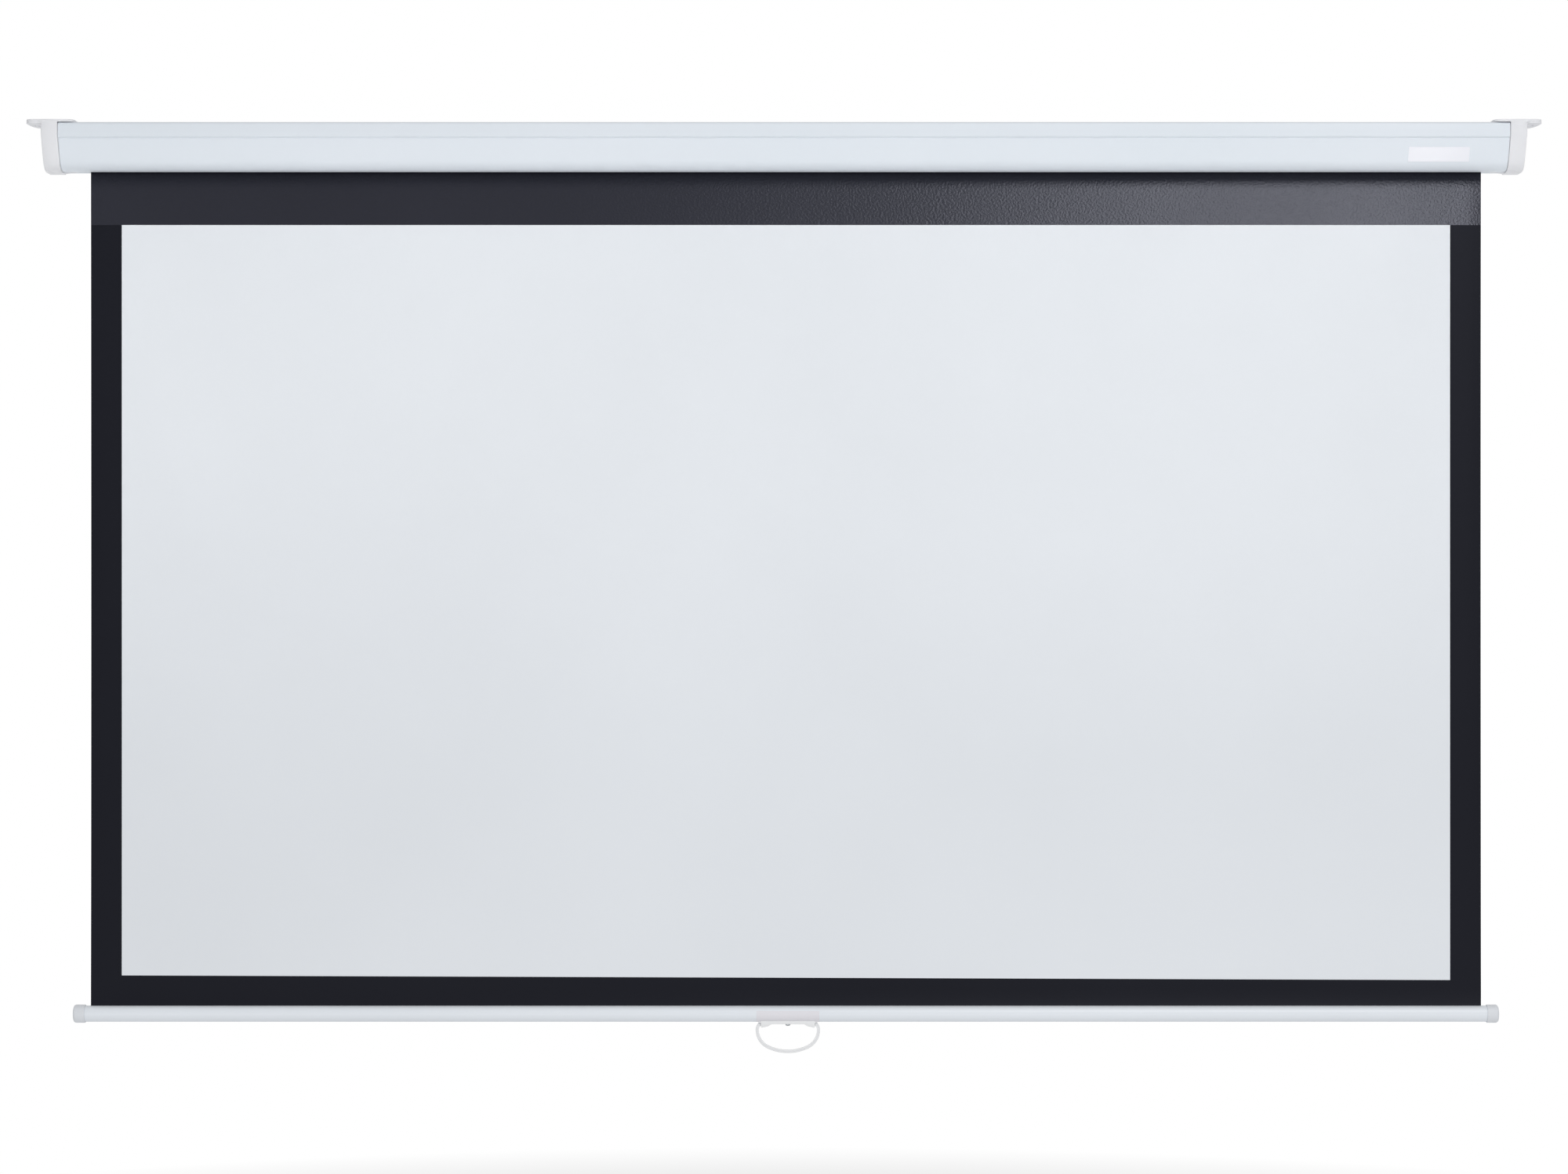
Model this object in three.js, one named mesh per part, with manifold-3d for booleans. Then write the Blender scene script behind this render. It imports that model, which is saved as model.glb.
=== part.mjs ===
// Pull-down projection screen. A case that fixes to a wall or ceiling holds a spring roller with
// a pawl lock. The black-bordered cloth hangs from the back of the roller, through a slot under
// the case, to a round weight bar with a hinged pull handle. It is shown pulled right down.
// Millimetres. +X runs along the case, +Y points at the wall and +Z is up. The origin is the
// middle of the case's back face.

import * as THREE from "three";
import { mergeVertices } from "three/addons/utils/BufferGeometryUtils.js";
import Module from "manifold-3d";

const wasm = await Module();
wasm.setup();

// Clearances and cutting allowances
const fitGap = 0.3; // between pieces that seat in, or turn on, each other
const overrun = 5; // how far a cutter runs past what it cuts
const bond = 0.5; // how far joined lumps of one moulding run into each other
const weldDistance = 0.0001; // vertices this close are one vertex
const leastRadius = 0.3; // a section's corner never gets sharper than this

// Case: a thin shell, open along a slot below
const caseDepth = 62;
const caseHeight = 60;
const shellWall = 1.2;
const browHeight = 18.5; // upright band along the top of the front
const browStep = 2.5; // how far the front stands back below that band
const faceLean = 26; // degrees that the lower front leans back
const chinRadius = 22; // rounding from the lower front into the underside
const noseRadius = 4;
const rearRadius = 2;
const slotWidth = 7; // clear, between the two rolled lips
const lipRadius = 1.3;

// End caps: a cup outside the shell, a spigot inside it, and a mounting plate on top
const capWidth = 21;
const capProud = 1.8;
const capWall = 2.2;
const capEndWall = 3;
const capEdge = 1.4; // rounding of the outer edge
const spigotLength = 16;
const spigotWall = 2;
const plateThickness = 3;
const plateCorner = 10;
const plateOverlap = 21; // how far the plate reaches over the shell
const earReach = 20; // how far the plate reaches past the cap's side
const earDrawIn = 12; // the ear's outer side curves in by this much at the wall
const earDrawLength = 38; // the length of that curve, from front to back
const earThickness = 5;
const earFillet = 3;
const earSlotWidth = 7;
const earSlotLength = 14;
const tongueLength = 18; // closes the slot beside the cloth
const tongueHeight = 6;
const bossRadius = 10;
const bossLength = 12;
const ribThickness = 2;
const ribDepth = 7;

// Screws that hold each cap to the shell
const capScrewRadius = 1.6;
const capScrewLength = 12;
const capScrewHeadRadius = 3.3;
const capScrewHeadDepth = 2;
const capScrewSink = 0.2; // the head lies this far below the plate's face
const capScrewInset = 10.5; // from the cap's shoulder
const capScrewPitch = 32; // front to back
const screwBossRadius = 3.8;
const screwBossDepth = 6;

// Cloth
const clothWidth = 1800;
const clothThickness = 0.45;
const clothFromWall = 13.5;
const clothShift = 2.5; // the cloth and its bar sit this far right of the case's middle
const dropDepth = 68; // black band from the case's underside to the picture
const sideBorder = 40;
const imageHeight = 975; // at the middle of the picture
const bottomBorder = 36; // the same, down to the bar
const printSkew = 6; // the picture's lower edge runs down this much from left to right
const wrapTurns = 1.6;
const wrapPitch = 0.9;
const hemStrip = 26; // stretch of lower border that always hangs straight from the bar

// Roller
const tubeRadius = 16;
const tubeWall = 1;
const tubeMargin = 20; // how far the tube runs past each edge of the cloth
const endRoom = 12; // from the tube's end to the cap's shoulder
const rollerHeight = 31.5; // its axis above the case's underside
const keyWidth = 4; // groove along the tube that grips the cloth's inner edge
const keyDepth = 3;
const plugLength = 20;
const flangeStep = 0.6; // how far a flange stands above the tube
const flangeThickness = 3;

// Lock: two pawls on the roller's head round a fixed ratchet wheel
const cupWall = 1.7;
const cupDepth = 7;
const coverThickness = 1.6;
const wheelThickness = 6;
const wheelWall = 1.1; // between the wheel's bore and the foot of a notch
const notchDepth = 2.3;
const pawlEyeRadius = 2.7;
const pawlEyeRoom = 0.8; // between a pawl's eye and the cup
const pawlArmOffset = 0.4; // the arm's middle line runs this far outside the pivot's circle
const pawlArmWidth = 3;
const pawlToothDepth = 2;
const pawlLift = 0.5; // between a lifted tooth and the wheel
const pawlThickness = 6;
const pinRadius = 1.5;
const pinLength = 13;
const pawlSpanDeg = 78;
const toothSpanDeg = 12;
const notchFaceDeg = 89;
const notchRampDeg = 59;
const notchCount = 2;

// Spring motor
const spindleRadius = 3.5;
const tangWidth = 8;
const tangThickness = 3;
const tangLength = 9.5; // inside the cap
const tangShoulder = 2; // outside it
const wireDiameter = 2.2;
const coilRoom = 1.4; // between the spring and the tube's groove
const coilPitch = 3;
const coilTurns = 40;
const hubLength = 14; // of the hubs that carry the spring's two ends
const springBushLength = 8;
const spindleTail = 12; // length of spindle past the fixed hub

// Idle end
const idlerPinRadius = 4;
const idlerPinInset = 15;
const bushRadius = 7;
const bushLength = 10;
const bushFlangeRadius = 9;
const bushFlangeThickness = 1.5;

// Weight bar
const barRadius = 10.5;
const barWall = 1.2;
const barMargin = 22; // how far the bar, with its cap, runs past each edge of the cloth
const barSlotWidth = 2.2;
const barCapWall = 0.95;
const barCapSkirt = 15;
const barCapEnd = 3;
const barCapRounding = 4;
const barPlugLength = 10;
const hemRodRadius = 2.5;
const hemRodMargin = 2; // the rod stops this far inside each edge of the cloth

// Handle
const baseDepth = 13;
const baseThickness = 2.6;
const wingHeight = 7.2;
const pivotDrop = 3.4; // below the bar
const handleWidth = 83.5; // outside
const handleShift = 2.5; // its middle sits this far right of the cloth's
const handleShoulder = 6.75; // how far the loop stands out past each end of its base
const handleDrop = 40.5; // from the bar's underside to the foot of the loop
const bailWidth = 4.2;
const bailDepth = 5;
const bailEyeRadius = 2.5;
const bailEyeThickness = 3;
const handlePinRadius = 1.5;
const handlePinLength = 8;
const baseScrewRadius = 1.5;
const baseScrewLength = 9;
const baseScrewHeadRadius = 3.4;
const baseScrewHeadHeight = 2.2;

// Facets
const roundSides = 32;
const smallSides = 16;
const chinSteps = 8;
const lockSteps = 12;
const cornerSteps = 3;
const wrapStepsPerTurn = 24;
const coilStepsPerTurn = 8;
const coilSides = 5;
const bailSteps = 32;

const radians = THREE.MathUtils.degToRad;

// Places that follow from the sizes
const tubeLength = clothWidth + 2 * tubeMargin;
const barLength = clothWidth + 2 * barMargin;
const imageWidth = clothWidth - 2 * sideBorder;
const clothDrop = dropDepth + imageHeight + bottomBorder;
const seam = tubeLength / 2 + endRoom; // from the middle to either cap's shoulder
const caseTop = caseHeight / 2;
const caseBottom = -caseHeight / 2;
const plateTop = caseTop + fitGap + plateThickness;
// The leaning face starts at its foot under the brow's step and runs down to the chin's rounding.
const leanAcross = Math.cos(radians(faceLean));
const leanDown = Math.sin(radians(faceLean));
const faceFootY = -caseDepth + browStep;
const faceFootZ = caseTop - browHeight - browStep;
const chinZ = caseBottom + chinRadius;
const faceRun = (faceFootZ + chinRadius * leanDown - chinZ) / leanAcross;
const chinY = faceFootY + chinRadius * leanAcross + faceRun * leanDown;
const clothY = -clothFromWall;
// The lock's parts lie round the spindle, one outside the other, and the cup goes round them.
const wheelRoot = spindleRadius + fitGap + wheelWall;
const wheelRadius = wheelRoot + notchDepth;
const pawlTipRadius = wheelRadius + pawlLift;
const pawlArmRadius = pawlTipRadius + pawlToothDepth + pawlArmWidth / 2;
const pawlPivotRadius = pawlArmRadius - pawlArmOffset;
const cupRadius = pawlPivotRadius + pawlEyeRadius + pawlEyeRoom + cupWall;
const flangeRadius = tubeRadius + flangeStep;
const headFlangeRadius = Math.max(tubeRadius, cupRadius) + flangeStep; // it carries the cup too
const wrapStartRadius = tubeRadius + fitGap + clothThickness / 2;
const wrapEndRadius = wrapStartRadius + wrapTurns * wrapPitch;
const rollerY = clothY - wrapEndRadius;
const rollerZ = caseBottom + rollerHeight;
const plugRadius = tubeRadius - tubeWall - fitGap;
const imageTop = caseBottom - dropDepth;
const barTop = caseBottom - clothDrop;
const hemTop = barTop + hemStrip;
const barInner = barRadius - barWall;

// Turns a shape drawn in (y, z) and pulled along its own third axis to lie along X.
const alongX = new THREE.Matrix4().makeBasis(
  new THREE.Vector3(0, 1, 0),
  new THREE.Vector3(0, 0, 1),
  new THREE.Vector3(1, 0, 0),
);
// The same for a shape drawn in (x, z) and pulled along Y, towards the viewer.
const alongY = new THREE.Matrix4().makeBasis(
  new THREE.Vector3(1, 0, 0),
  new THREE.Vector3(0, 0, 1),
  new THREE.Vector3(0, -1, 0),
);

// Solids

function toSolid(geometry) {
  const bare = geometry.index ? geometry.toNonIndexed() : geometry.clone();
  bare.deleteAttribute("normal");
  bare.deleteAttribute("uv");
  const merged = mergeVertices(bare, weldDistance);
  const corners = [];
  const index = merged.index.array;
  for (let i = 0; i < index.length; i += 3) {
    const [a, b, c] = index.slice(i, i + 3);
    // A pole squeezes some triangles flat, and those are left out.
    if (a !== b && b !== c && c !== a) corners.push(a, b, c);
  }
  return new wasm.Manifold(
    new wasm.Mesh({
      numProp: 3,
      vertProperties: merged.attributes.position.array,
      triVerts: new Uint32Array(corners),
    }),
  );
}

function toGeometry(solid) {
  const mesh = solid.getMesh();
  const geometry = new THREE.BufferGeometry();
  geometry.setAttribute("position", new THREE.BufferAttribute(mesh.vertProperties, mesh.numProp));
  geometry.setIndex(new THREE.BufferAttribute(mesh.triVerts, 1));
  geometry.computeVertexNormals();
  return geometry;
}

function join(first, ...others) {
  return others.reduce((whole, next) => whole.add(next), first);
}

function cut(solid, ...cutters) {
  return cutters.reduce((left, cutter) => left.subtract(cutter), solid);
}

// A straight bar of section points in (y, z), from one x to another.
function prismX(points, from, to) {
  const [low, high] = [Math.min(from, to), Math.max(from, to)];
  const body = new THREE.ExtrudeGeometry(new THREE.Shape(points), {
    depth: high - low,
    bevelEnabled: false,
  });
  return toSolid(body.applyMatrix4(alongX).translate(low, 0, 0));
}

// A straight bar of section points in (x, z), from one y to another.
function prismY(points, from, to) {
  const body = new THREE.ExtrudeGeometry(new THREE.Shape(points), {
    depth: to - from,
    bevelEnabled: false,
  });
  return toSolid(body.applyMatrix4(alongY).translate(0, to, 0));
}

// An upright bar of section points in (x, y), from one z to another.
function prismZ(points, from, to) {
  const body = new THREE.ExtrudeGeometry(new THREE.Shape(points), {
    depth: to - from,
    bevelEnabled: false,
  });
  return toSolid(body.translate(0, 0, from));
}

function block(low, high) {
  const size = new THREE.Vector3(...high).sub(new THREE.Vector3(...low));
  const middle = new THREE.Vector3(...high).add(new THREE.Vector3(...low)).multiplyScalar(0.5);
  const body = new THREE.BoxGeometry(size.x, size.y, size.z);
  return toSolid(body.translate(middle.x, middle.y, middle.z));
}

// A round bar along X, on the axis through (y, z).
function rodX(radius, from, to, { y = 0, z = 0, sides = roundSides } = {}) {
  const body = new THREE.CylinderGeometry(radius, radius, Math.abs(to - from), sides);
  return toSolid(body.rotateZ(Math.PI / 2).translate((from + to) / 2, y, z));
}

// A round bar along Z, on the axis through (x, y).
function rodZ(radius, from, to, { x = 0, y = 0, sides = smallSides } = {}) {
  const body = new THREE.CylinderGeometry(radius, radius, to - from, sides);
  return toSolid(body.rotateX(Math.PI / 2).translate(x, y, (from + to) / 2));
}

// A body turned about its own Y axis from [radius, height] pairs that start and end on the axis.
function turned(pairs, sides = smallSides) {
  const points = pairs.map(([radius, height]) => new THREE.Vector2(radius, height));
  return new THREE.LatheGeometry(points, sides);
}

function arc(cy, cz, ry, rz, fromDeg, toDeg, steps) {
  const curve = new THREE.EllipseCurve(cy, cz, ry, rz, radians(fromDeg), radians(toDeg), toDeg < fromDeg);
  return curve.getPoints(steps);
}

function circle(cy, cz, radius, sides) {
  return arc(cy, cz, radius, radius, 0, 360, sides).slice(0, -1);
}

function roundedRectangle(left, right, low, high, radius) {
  return [
    ...arc(right - radius, high - radius, radius, radius, 0, 90, cornerSteps),
    ...arc(left + radius, high - radius, radius, radius, 90, 180, cornerSteps),
    ...arc(left + radius, low + radius, radius, radius, 180, 270, cornerSteps),
    ...arc(right - radius, low + radius, radius, radius, 270, 360, cornerSteps),
  ];
}

function stadium(x, y, width, length) {
  const straight = (length - width) / 2;
  return [
    ...arc(x, y + straight, width / 2, width / 2, 0, 180, smallSides / 2),
    ...arc(x, y - straight, width / 2, width / 2, 180, 360, smallSides / 2),
  ];
}

// Finishes
const finish = (color, roughness, metalness = 0) =>
  new THREE.MeshStandardMaterial({ color, roughness, metalness });
const casePaint = finish(0xdce2e9, 0.45);
const capPlastic = finish(0xdddee2, 0.5);
const imageWhite = finish(0xe4e7ee, 0.95);
const dropBlack = finish(0x2c2d31, 0.6);
const borderBlack = finish(0x1f2023, 0.85);
const barPaint = finish(0xd9dee4, 0.4);
const barPlastic = finish(0xd4d7de, 0.5);
const handlePlastic = finish(0xdcdfe3, 0.45);
const tubeSteel = finish(0xb4b8bc, 0.4, 0.9);
const darkSteel = finish(0x6f747a, 0.45, 0.9);
const springSteel = finish(0x85898e, 0.35, 1);
const nylon = finish(0xeceae2, 0.6);
const screwZinc = finish(0xc8ccd0, 0.3, 1);

function piece(name, solid, material) {
  const mesh = new THREE.Mesh(solid.isBufferGeometry ? solid : toGeometry(solid), material);
  mesh.name = name;
  return mesh;
}

function at(object, x, y, z) {
  object.position.set(x, y, z);
  return object;
}

// Case

// The case's section in (y, z), from its back round the top to the front and under. grow moves
// the front and underside outwards, and back and above move the other two sides. Under the brow
// the front steps back, leans away in a straight face and rounds into the underside. With
// stepped false that face runs up to the front without a step. noseBase rounds the front's top.
function caseSection({ grow = 0, back = grow, above = grow, stepped = true, noseBase = noseRadius } = {}) {
  const front = -caseDepth - grow;
  const top = caseTop + above;
  const bottom = caseBottom - grow;
  const nose = Math.max(noseBase + grow, leastRadius);
  const rear = Math.max(rearRadius + back, leastRadius);
  const chin = chinRadius + grow;
  return [
    ...arc(back - rear, bottom + rear, rear, rear, 270, 360, cornerSteps),
    ...arc(back - rear, top - rear, rear, rear, 0, 90, cornerSteps),
    ...arc(front + nose, top - nose, nose, nose, 90, 180, cornerSteps),
    ...(stepped ? browCorners(grow) : [faceTop(grow)]),
    ...arc(chinY, chinZ, chin, chin, 180 + faceLean, 270, chinSteps),
  ];
}

// The brow's foot and the corner where the leaning face starts, with the walls moved out by grow.
function browCorners(grow) {
  const browFoot = caseTop - browHeight - grow * (Math.SQRT2 - 1);
  const reach = grow / (1 + (leanAcross + leanDown) * Math.SQRT1_2);
  return [
    new THREE.Vector2(-caseDepth - grow, browFoot),
    new THREE.Vector2(
      faceFootY - reach * (Math.SQRT1_2 + leanAcross),
      faceFootZ - reach * (Math.SQRT1_2 + leanDown),
    ),
  ];
}

// Where the leaning face, run on upwards, meets the front.
function faceTop(grow) {
  const rise = (faceFootY - grow * leanAcross + caseDepth + grow) / leanDown;
  return new THREE.Vector2(-caseDepth - grow, faceFootZ - grow * leanDown + rise * leanAcross);
}

function capScrewPlaces(side) {
  const x = side * (seam - capScrewInset);
  const middle = -caseDepth / 2;
  return [middle - capScrewPitch / 2, middle + capScrewPitch / 2].map((y) => ({ x, y }));
}

function capScrewHole({ x, y }) {
  return rodZ(capScrewRadius + fitGap, caseTop - capScrewLength - overrun, plateTop + overrun, { x, y });
}

function caseShell() {
  const half = seam - fitGap;
  const hollow = prismX(caseSection({ grow: -shellWall }), -half - overrun, half + overrun);
  const slotHalf = slotWidth / 2 + lipRadius;
  const slot = block(
    [-half - overrun, clothY - slotHalf, caseBottom - overrun],
    [half + overrun, clothY + slotHalf, caseBottom + shellWall + overrun],
  );
  const lips = [-slotHalf, slotHalf].map((offset) =>
    prismX(circle(clothY + offset, caseBottom + lipRadius, lipRadius, smallSides), -half, half),
  );
  const walls = cut(prismX(caseSection(), -half, half), hollow, slot);
  const holes = [-1, 1].flatMap(capScrewPlaces).map(capScrewHole);
  return piece("case_shell", cut(join(walls, ...lips), ...holes), casePaint);
}

// The cup that shows outside the shell. Its outer edge is rounded, and its inner end is square.
function capCup(side) {
  const section = caseSection({
    grow: capProud,
    back: 0,
    above: fitGap + plateThickness,
    stepped: false,
    noseBase: 0,
  });
  const rounded = new THREE.ExtrudeGeometry(new THREE.Shape(section), {
    depth: capWidth + overrun - 2 * capEdge,
    bevelThickness: capEdge,
    bevelSize: capEdge,
    bevelOffset: -capEdge,
    bevelSegments: 2,
  });
  const from = side > 0 ? seam - overrun + capEdge : -seam - capWidth + capEdge;
  const whole = toSolid(rounded.applyMatrix4(alongX).translate(from, 0, 0));
  const reach = caseDepth + caseHeight;
  const inner = [side * seam, side * (seam - reach)].sort((a, b) => a - b);
  return cut(whole, block([inner[0], -reach, -reach], [inner[1], reach, reach]));
}

// The plate in plan, from its inner back corner. Its front corners are round, and the ear's outer
// side curves in towards the wall.
function platePlan(side) {
  const inner = seam - plateOverlap;
  const outer = seam + capWidth + earReach;
  const front = -caseDepth - capProud;
  const points = [
    new THREE.Vector2(inner, 0),
    ...arc(inner + plateCorner, front + plateCorner, plateCorner, plateCorner, 180, 270, cornerSteps),
    ...arc(outer - plateCorner, front + plateCorner, plateCorner, plateCorner, 270, 360, cornerSteps),
    ...arc(outer - earDrawIn, -earDrawLength, earDrawIn, earDrawLength, 0, 90, 2 * cornerSteps),
  ];
  return points.map(({ x, y }) => new THREE.Vector2(side * x, y));
}

function capPlate(side) {
  const plate = prismZ(platePlan(side), caseTop + fitGap, plateTop);
  const ear = prismZ(platePlan(side), plateTop - earThickness, plateTop);
  const cupSide = seam + capWidth;
  const reach = caseDepth + earReach;
  const [low, high] = [side * (cupSide - bond), side * (cupSide + reach)].sort((a, b) => a - b);
  return join(plate, ear.intersect(block([low, -reach, caseBottom], [high, reach, plateTop + overrun])));
}

// A hollow corner under the ear, where it meets the cap's side.
function earFilletSolid(side) {
  const x = side * (seam + capWidth);
  const z = plateTop - earThickness;
  const endDeg = side > 0 ? 180 : 0;
  const curve = arc(x + side * earFillet, z - earFillet, earFillet, earFillet, 90, endDeg, cornerSteps);
  const points = [
    ...curve,
    new THREE.Vector2(x - side * bond, z - earFillet),
    new THREE.Vector2(x - side * bond, z + bond),
    new THREE.Vector2(x + side * earFillet, z + bond),
  ];
  return prismY(points, -caseDepth + plateCorner, -plateCorner);
}

// The tongue fills the end of the slot, and slopes up under the shell.
function capTongue(side) {
  const half = slotWidth / 2 - fitGap;
  const points = [
    new THREE.Vector2(side * (seam + capWall), caseBottom - capProud),
    new THREE.Vector2(side * seam, caseBottom - capProud),
    new THREE.Vector2(side * (seam - tongueLength), caseBottom + capScrewSink),
    new THREE.Vector2(side * (seam - tongueLength), caseBottom + tongueHeight),
    new THREE.Vector2(side * (seam + capWall), caseBottom + tongueHeight),
  ];
  return prismY(points, clothY - half, clothY + half);
}

function endCap(name, side, socket) {
  const outward = (distance) => side * (seam + distance);
  const spigotGrow = -shellWall - fitGap;
  const spigot = prismX(caseSection({ grow: spigotGrow }), outward(-spigotLength), outward(bond));
  const lipRoom = slotWidth / 2 + 2 * lipRadius + fitGap;
  const [slotLow, slotHigh] = [outward(-spigotLength - overrun), outward(0)].sort((a, b) => a - b);
  const aboveLips = caseBottom + 2 * lipRadius + 2 * fitGap;
  const slotRoom = block(
    [slotLow, clothY - lipRoom, caseBottom - overrun],
    [slotHigh, clothY + lipRoom, Math.max(aboveLips, caseBottom + shellWall + spigotWall + bond)],
  );
  const floor = capWidth - capEndWall;
  const insideSpigot = prismX(
    caseSection({ grow: spigotGrow - spigotWall }),
    outward(-spigotLength - overrun),
    outward(capWall + bond),
  );
  const insideCup = prismX(
    caseSection({ grow: capProud - capWall, back: -capWall, above: -capWall, stepped: false }),
    outward(capWall),
    outward(floor),
  );
  const outside = join(capCup(side), cut(spigot, slotRoom), capPlate(side), earFilletSolid(side));
  const shell = cut(outside, insideSpigot, insideCup);

  const axis = { y: rollerY, z: rollerZ };
  const boss = rodX(bossRadius, outward(floor + bond), outward(floor - bossLength), axis);
  const [ribLow, ribHigh] = [outward(floor - ribDepth), outward(floor + bond)].sort((a, b) => a - b);
  const upright = block(
    [ribLow, rollerY - ribThickness / 2, caseBottom],
    [ribHigh, rollerY + ribThickness / 2, caseTop],
  );
  const level = block(
    [ribLow, -caseDepth + browStep, rollerZ - ribThickness / 2],
    [ribHigh, -capWall / 2, rollerZ + ribThickness / 2],
  );
  const ribs = join(upright, level).intersect(capCup(side));
  const spigotTop = caseTop - shellWall - fitGap - spigotWall;
  const screwBosses = capScrewPlaces(side).map((place) =>
    rodZ(screwBossRadius, spigotTop - screwBossDepth, spigotTop + bond, place),
  );
  const holes = capScrewPlaces(side).flatMap((place) => [capScrewHole(place), capScrewSeat(place)]);
  const earX = outward(capWidth + earReach / 2);
  const earSlot = prismZ(
    stadium(earX, -caseDepth / 2, earSlotWidth, earSlotLength),
    plateTop - earThickness - overrun,
    plateTop + overrun,
  );
  const solid = cut(join(shell, boss, ribs, capTongue(side), ...screwBosses), socket, earSlot, ...holes);
  return piece(name, solid, capPlastic);
}

// The flared seat for a countersunk head.
function capScrewSeat({ x, y }) {
  const slope = (capScrewHeadRadius - capScrewRadius) / capScrewHeadDepth;
  const mouth = capScrewHeadRadius + fitGap + slope * (capScrewSink + overrun);
  const profile = [
    [0, -capScrewHeadDepth - capScrewSink],
    [capScrewRadius + fitGap, -capScrewHeadDepth - capScrewSink],
    [mouth, overrun],
    [0, overrun],
  ];
  return toSolid(turned(profile).rotateX(Math.PI / 2).translate(x, y, plateTop));
}

function capScrew(name, { x, y }) {
  const tipLength = 2 * capScrewRadius;
  const profile = [
    [0, -capScrewLength],
    [capScrewRadius, -capScrewLength + tipLength],
    [capScrewRadius, -capScrewHeadDepth],
    [capScrewHeadRadius, 0],
    [0, 0],
  ];
  const screw = piece(name, toSolid(turned(profile).rotateX(Math.PI / 2)), screwZinc);
  return at(screw, x, y, plateTop - capScrewSink);
}

function caseGroup() {
  const group = new THREE.Group();
  const floor = seam + capWidth - capEndWall;
  const tangSocket = block(
    [-floor, rollerY - tangThickness / 2 - fitGap, rollerZ - tangWidth / 2 - fitGap],
    [-floor + bossLength + overrun, rollerY + tangThickness / 2 + fitGap, rollerZ + tangWidth / 2 + fitGap],
  );
  const bushSocket = rodX(bushRadius + fitGap, floor - bossLength - overrun, floor, {
    y: rollerY,
    z: rollerZ,
  });
  group.add(caseShell(), endCap("left_end_cap", -1, tangSocket), endCap("right_end_cap", 1, bushSocket));
  for (const [end, side] of [["left", -1], ["right", 1]]) {
    const [front, back] = capScrewPlaces(side);
    group.add(capScrew(`${end}_cap_screw_front`, front), capScrew(`${end}_cap_screw_back`, back));
  }
  return group;
}

// Spring motor and lock. These are drawn on the roller's axis, which is the X axis of its group.

const coilRadius = tubeRadius - keyDepth - tubeWall - coilRoom - wireDiameter / 2; // to the wire's middle
const tubeEnd = tubeLength / 2;
const bossFace = seam + capWidth - capEndWall - bossLength;
const plugFace = tubeEnd - plugLength; // inner end of either plug
const springStart = plugFace - fitGap - wireDiameter / 2;
const springEnd = springStart - coilTurns * coilPitch;
const coilBore = (coilRadius - wireDiameter / 2) * Math.cos(Math.PI / coilStepsPerTurn);
const hubRadius = coilBore - fitGap;
const fixedHubEnd = springEnd + hubLength / 2;
const bushEnd = fixedHubEnd - hubLength - fitGap - springBushLength;
const cupStart = tubeEnd + flangeThickness;
const cupEnd = cupStart + cupDepth;
const keyAngleDeg = (wrapTurns * 360) % 360;

// Anything that fits in the tube is notched for the groove that runs along it.
function keyChannel(grow, from, to) {
  const width = keyWidth + 2 * tubeWall + 2 * grow;
  const bottom = tubeRadius - keyDepth - tubeWall - grow;
  const channel = new THREE.BoxGeometry(Math.abs(to - from), tubeRadius - bottom, width);
  channel.translate((from + to) / 2, (tubeRadius + bottom) / 2, 0);
  return toSolid(channel.rotateX(radians(keyAngleDeg)));
}

function keyGroove(inset, from, to) {
  const width = keyWidth - 2 * inset;
  const [low, high] = [tubeRadius - keyDepth + inset, tubeRadius + overrun];
  const groove = new THREE.BoxGeometry(Math.abs(to - from), high - low, width);
  groove.translate((from + to) / 2, (low + high) / 2, 0);
  return toSolid(groove.rotateX(radians(keyAngleDeg)));
}

function rollerTube() {
  const ring = cut(
    rodX(tubeRadius, -tubeEnd, tubeEnd),
    rodX(tubeRadius - tubeWall, -tubeEnd - overrun, tubeEnd + overrun),
  );
  const round = rodX(tubeRadius, -tubeEnd, tubeEnd);
  const channel = keyChannel(0, -tubeEnd, tubeEnd).intersect(round);
  const groove = keyGroove(0, -tubeEnd - overrun, tubeEnd + overrun);
  return piece("roller_tube", cut(join(ring, channel), groove), tubeSteel);
}

// A spline that presses the cloth's inner edge into the groove.
function clothSpline() {
  const half = clothWidth / 2;
  const inside = rodX(tubeRadius, -half, half);
  const spline = at(
    piece("cloth_spline", keyGroove(fitGap, -half, half).intersect(inside), nylon),
    clothShift, 0, 0,
  );
  return spline;
}

// The safety turns that stay on the tube. The cloth comes off at the back, so its inner turns
// run up and over the top from there.
function clothWrap() {
  const steps = Math.round(wrapTurns * wrapStepsPerTurn);
  const edge = (offset) =>
    Array.from({ length: steps + 1 }, (_, i) => {
      const turn = (i / steps) * wrapTurns;
      const radius = wrapEndRadius - turn * wrapPitch + offset;
      const angle = turn * 2 * Math.PI;
      return new THREE.Vector2(radius * Math.cos(angle), radius * Math.sin(angle));
    });
  const outer = edge(clothThickness / 2);
  const inner = edge(-clothThickness / 2);
  const between = outer.slice(wrapStepsPerTurn).map((point) => {
    const nearest = inner.slice(0, wrapStepsPerTurn).map((other) => other.distanceTo(point));
    return Math.min(...nearest);
  });
  console.log(`cloth wrap: least gap between turns ${Math.min(...between).toFixed(2)} mm`);
  const solid = prismX([...outer, ...inner.reverse()], -clothWidth / 2, clothWidth / 2);
  return at(piece("cloth_wrap", solid, borderBlack), clothShift, 0, 0);
}

function pawlPins() {
  return ["upper", "lower"].map((name, i) => {
    const y = pawlPivotRadius * (i === 0 ? 1 : -1);
    const inner = -(cupEnd - pinLength);
    const pin = piece(`${name}_pawl_pin`, rodX(pinRadius, inner, -cupEnd, { sides: smallSides }), darkSteel);
    return at(pin, 0, y, 0);
  });
}

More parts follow.
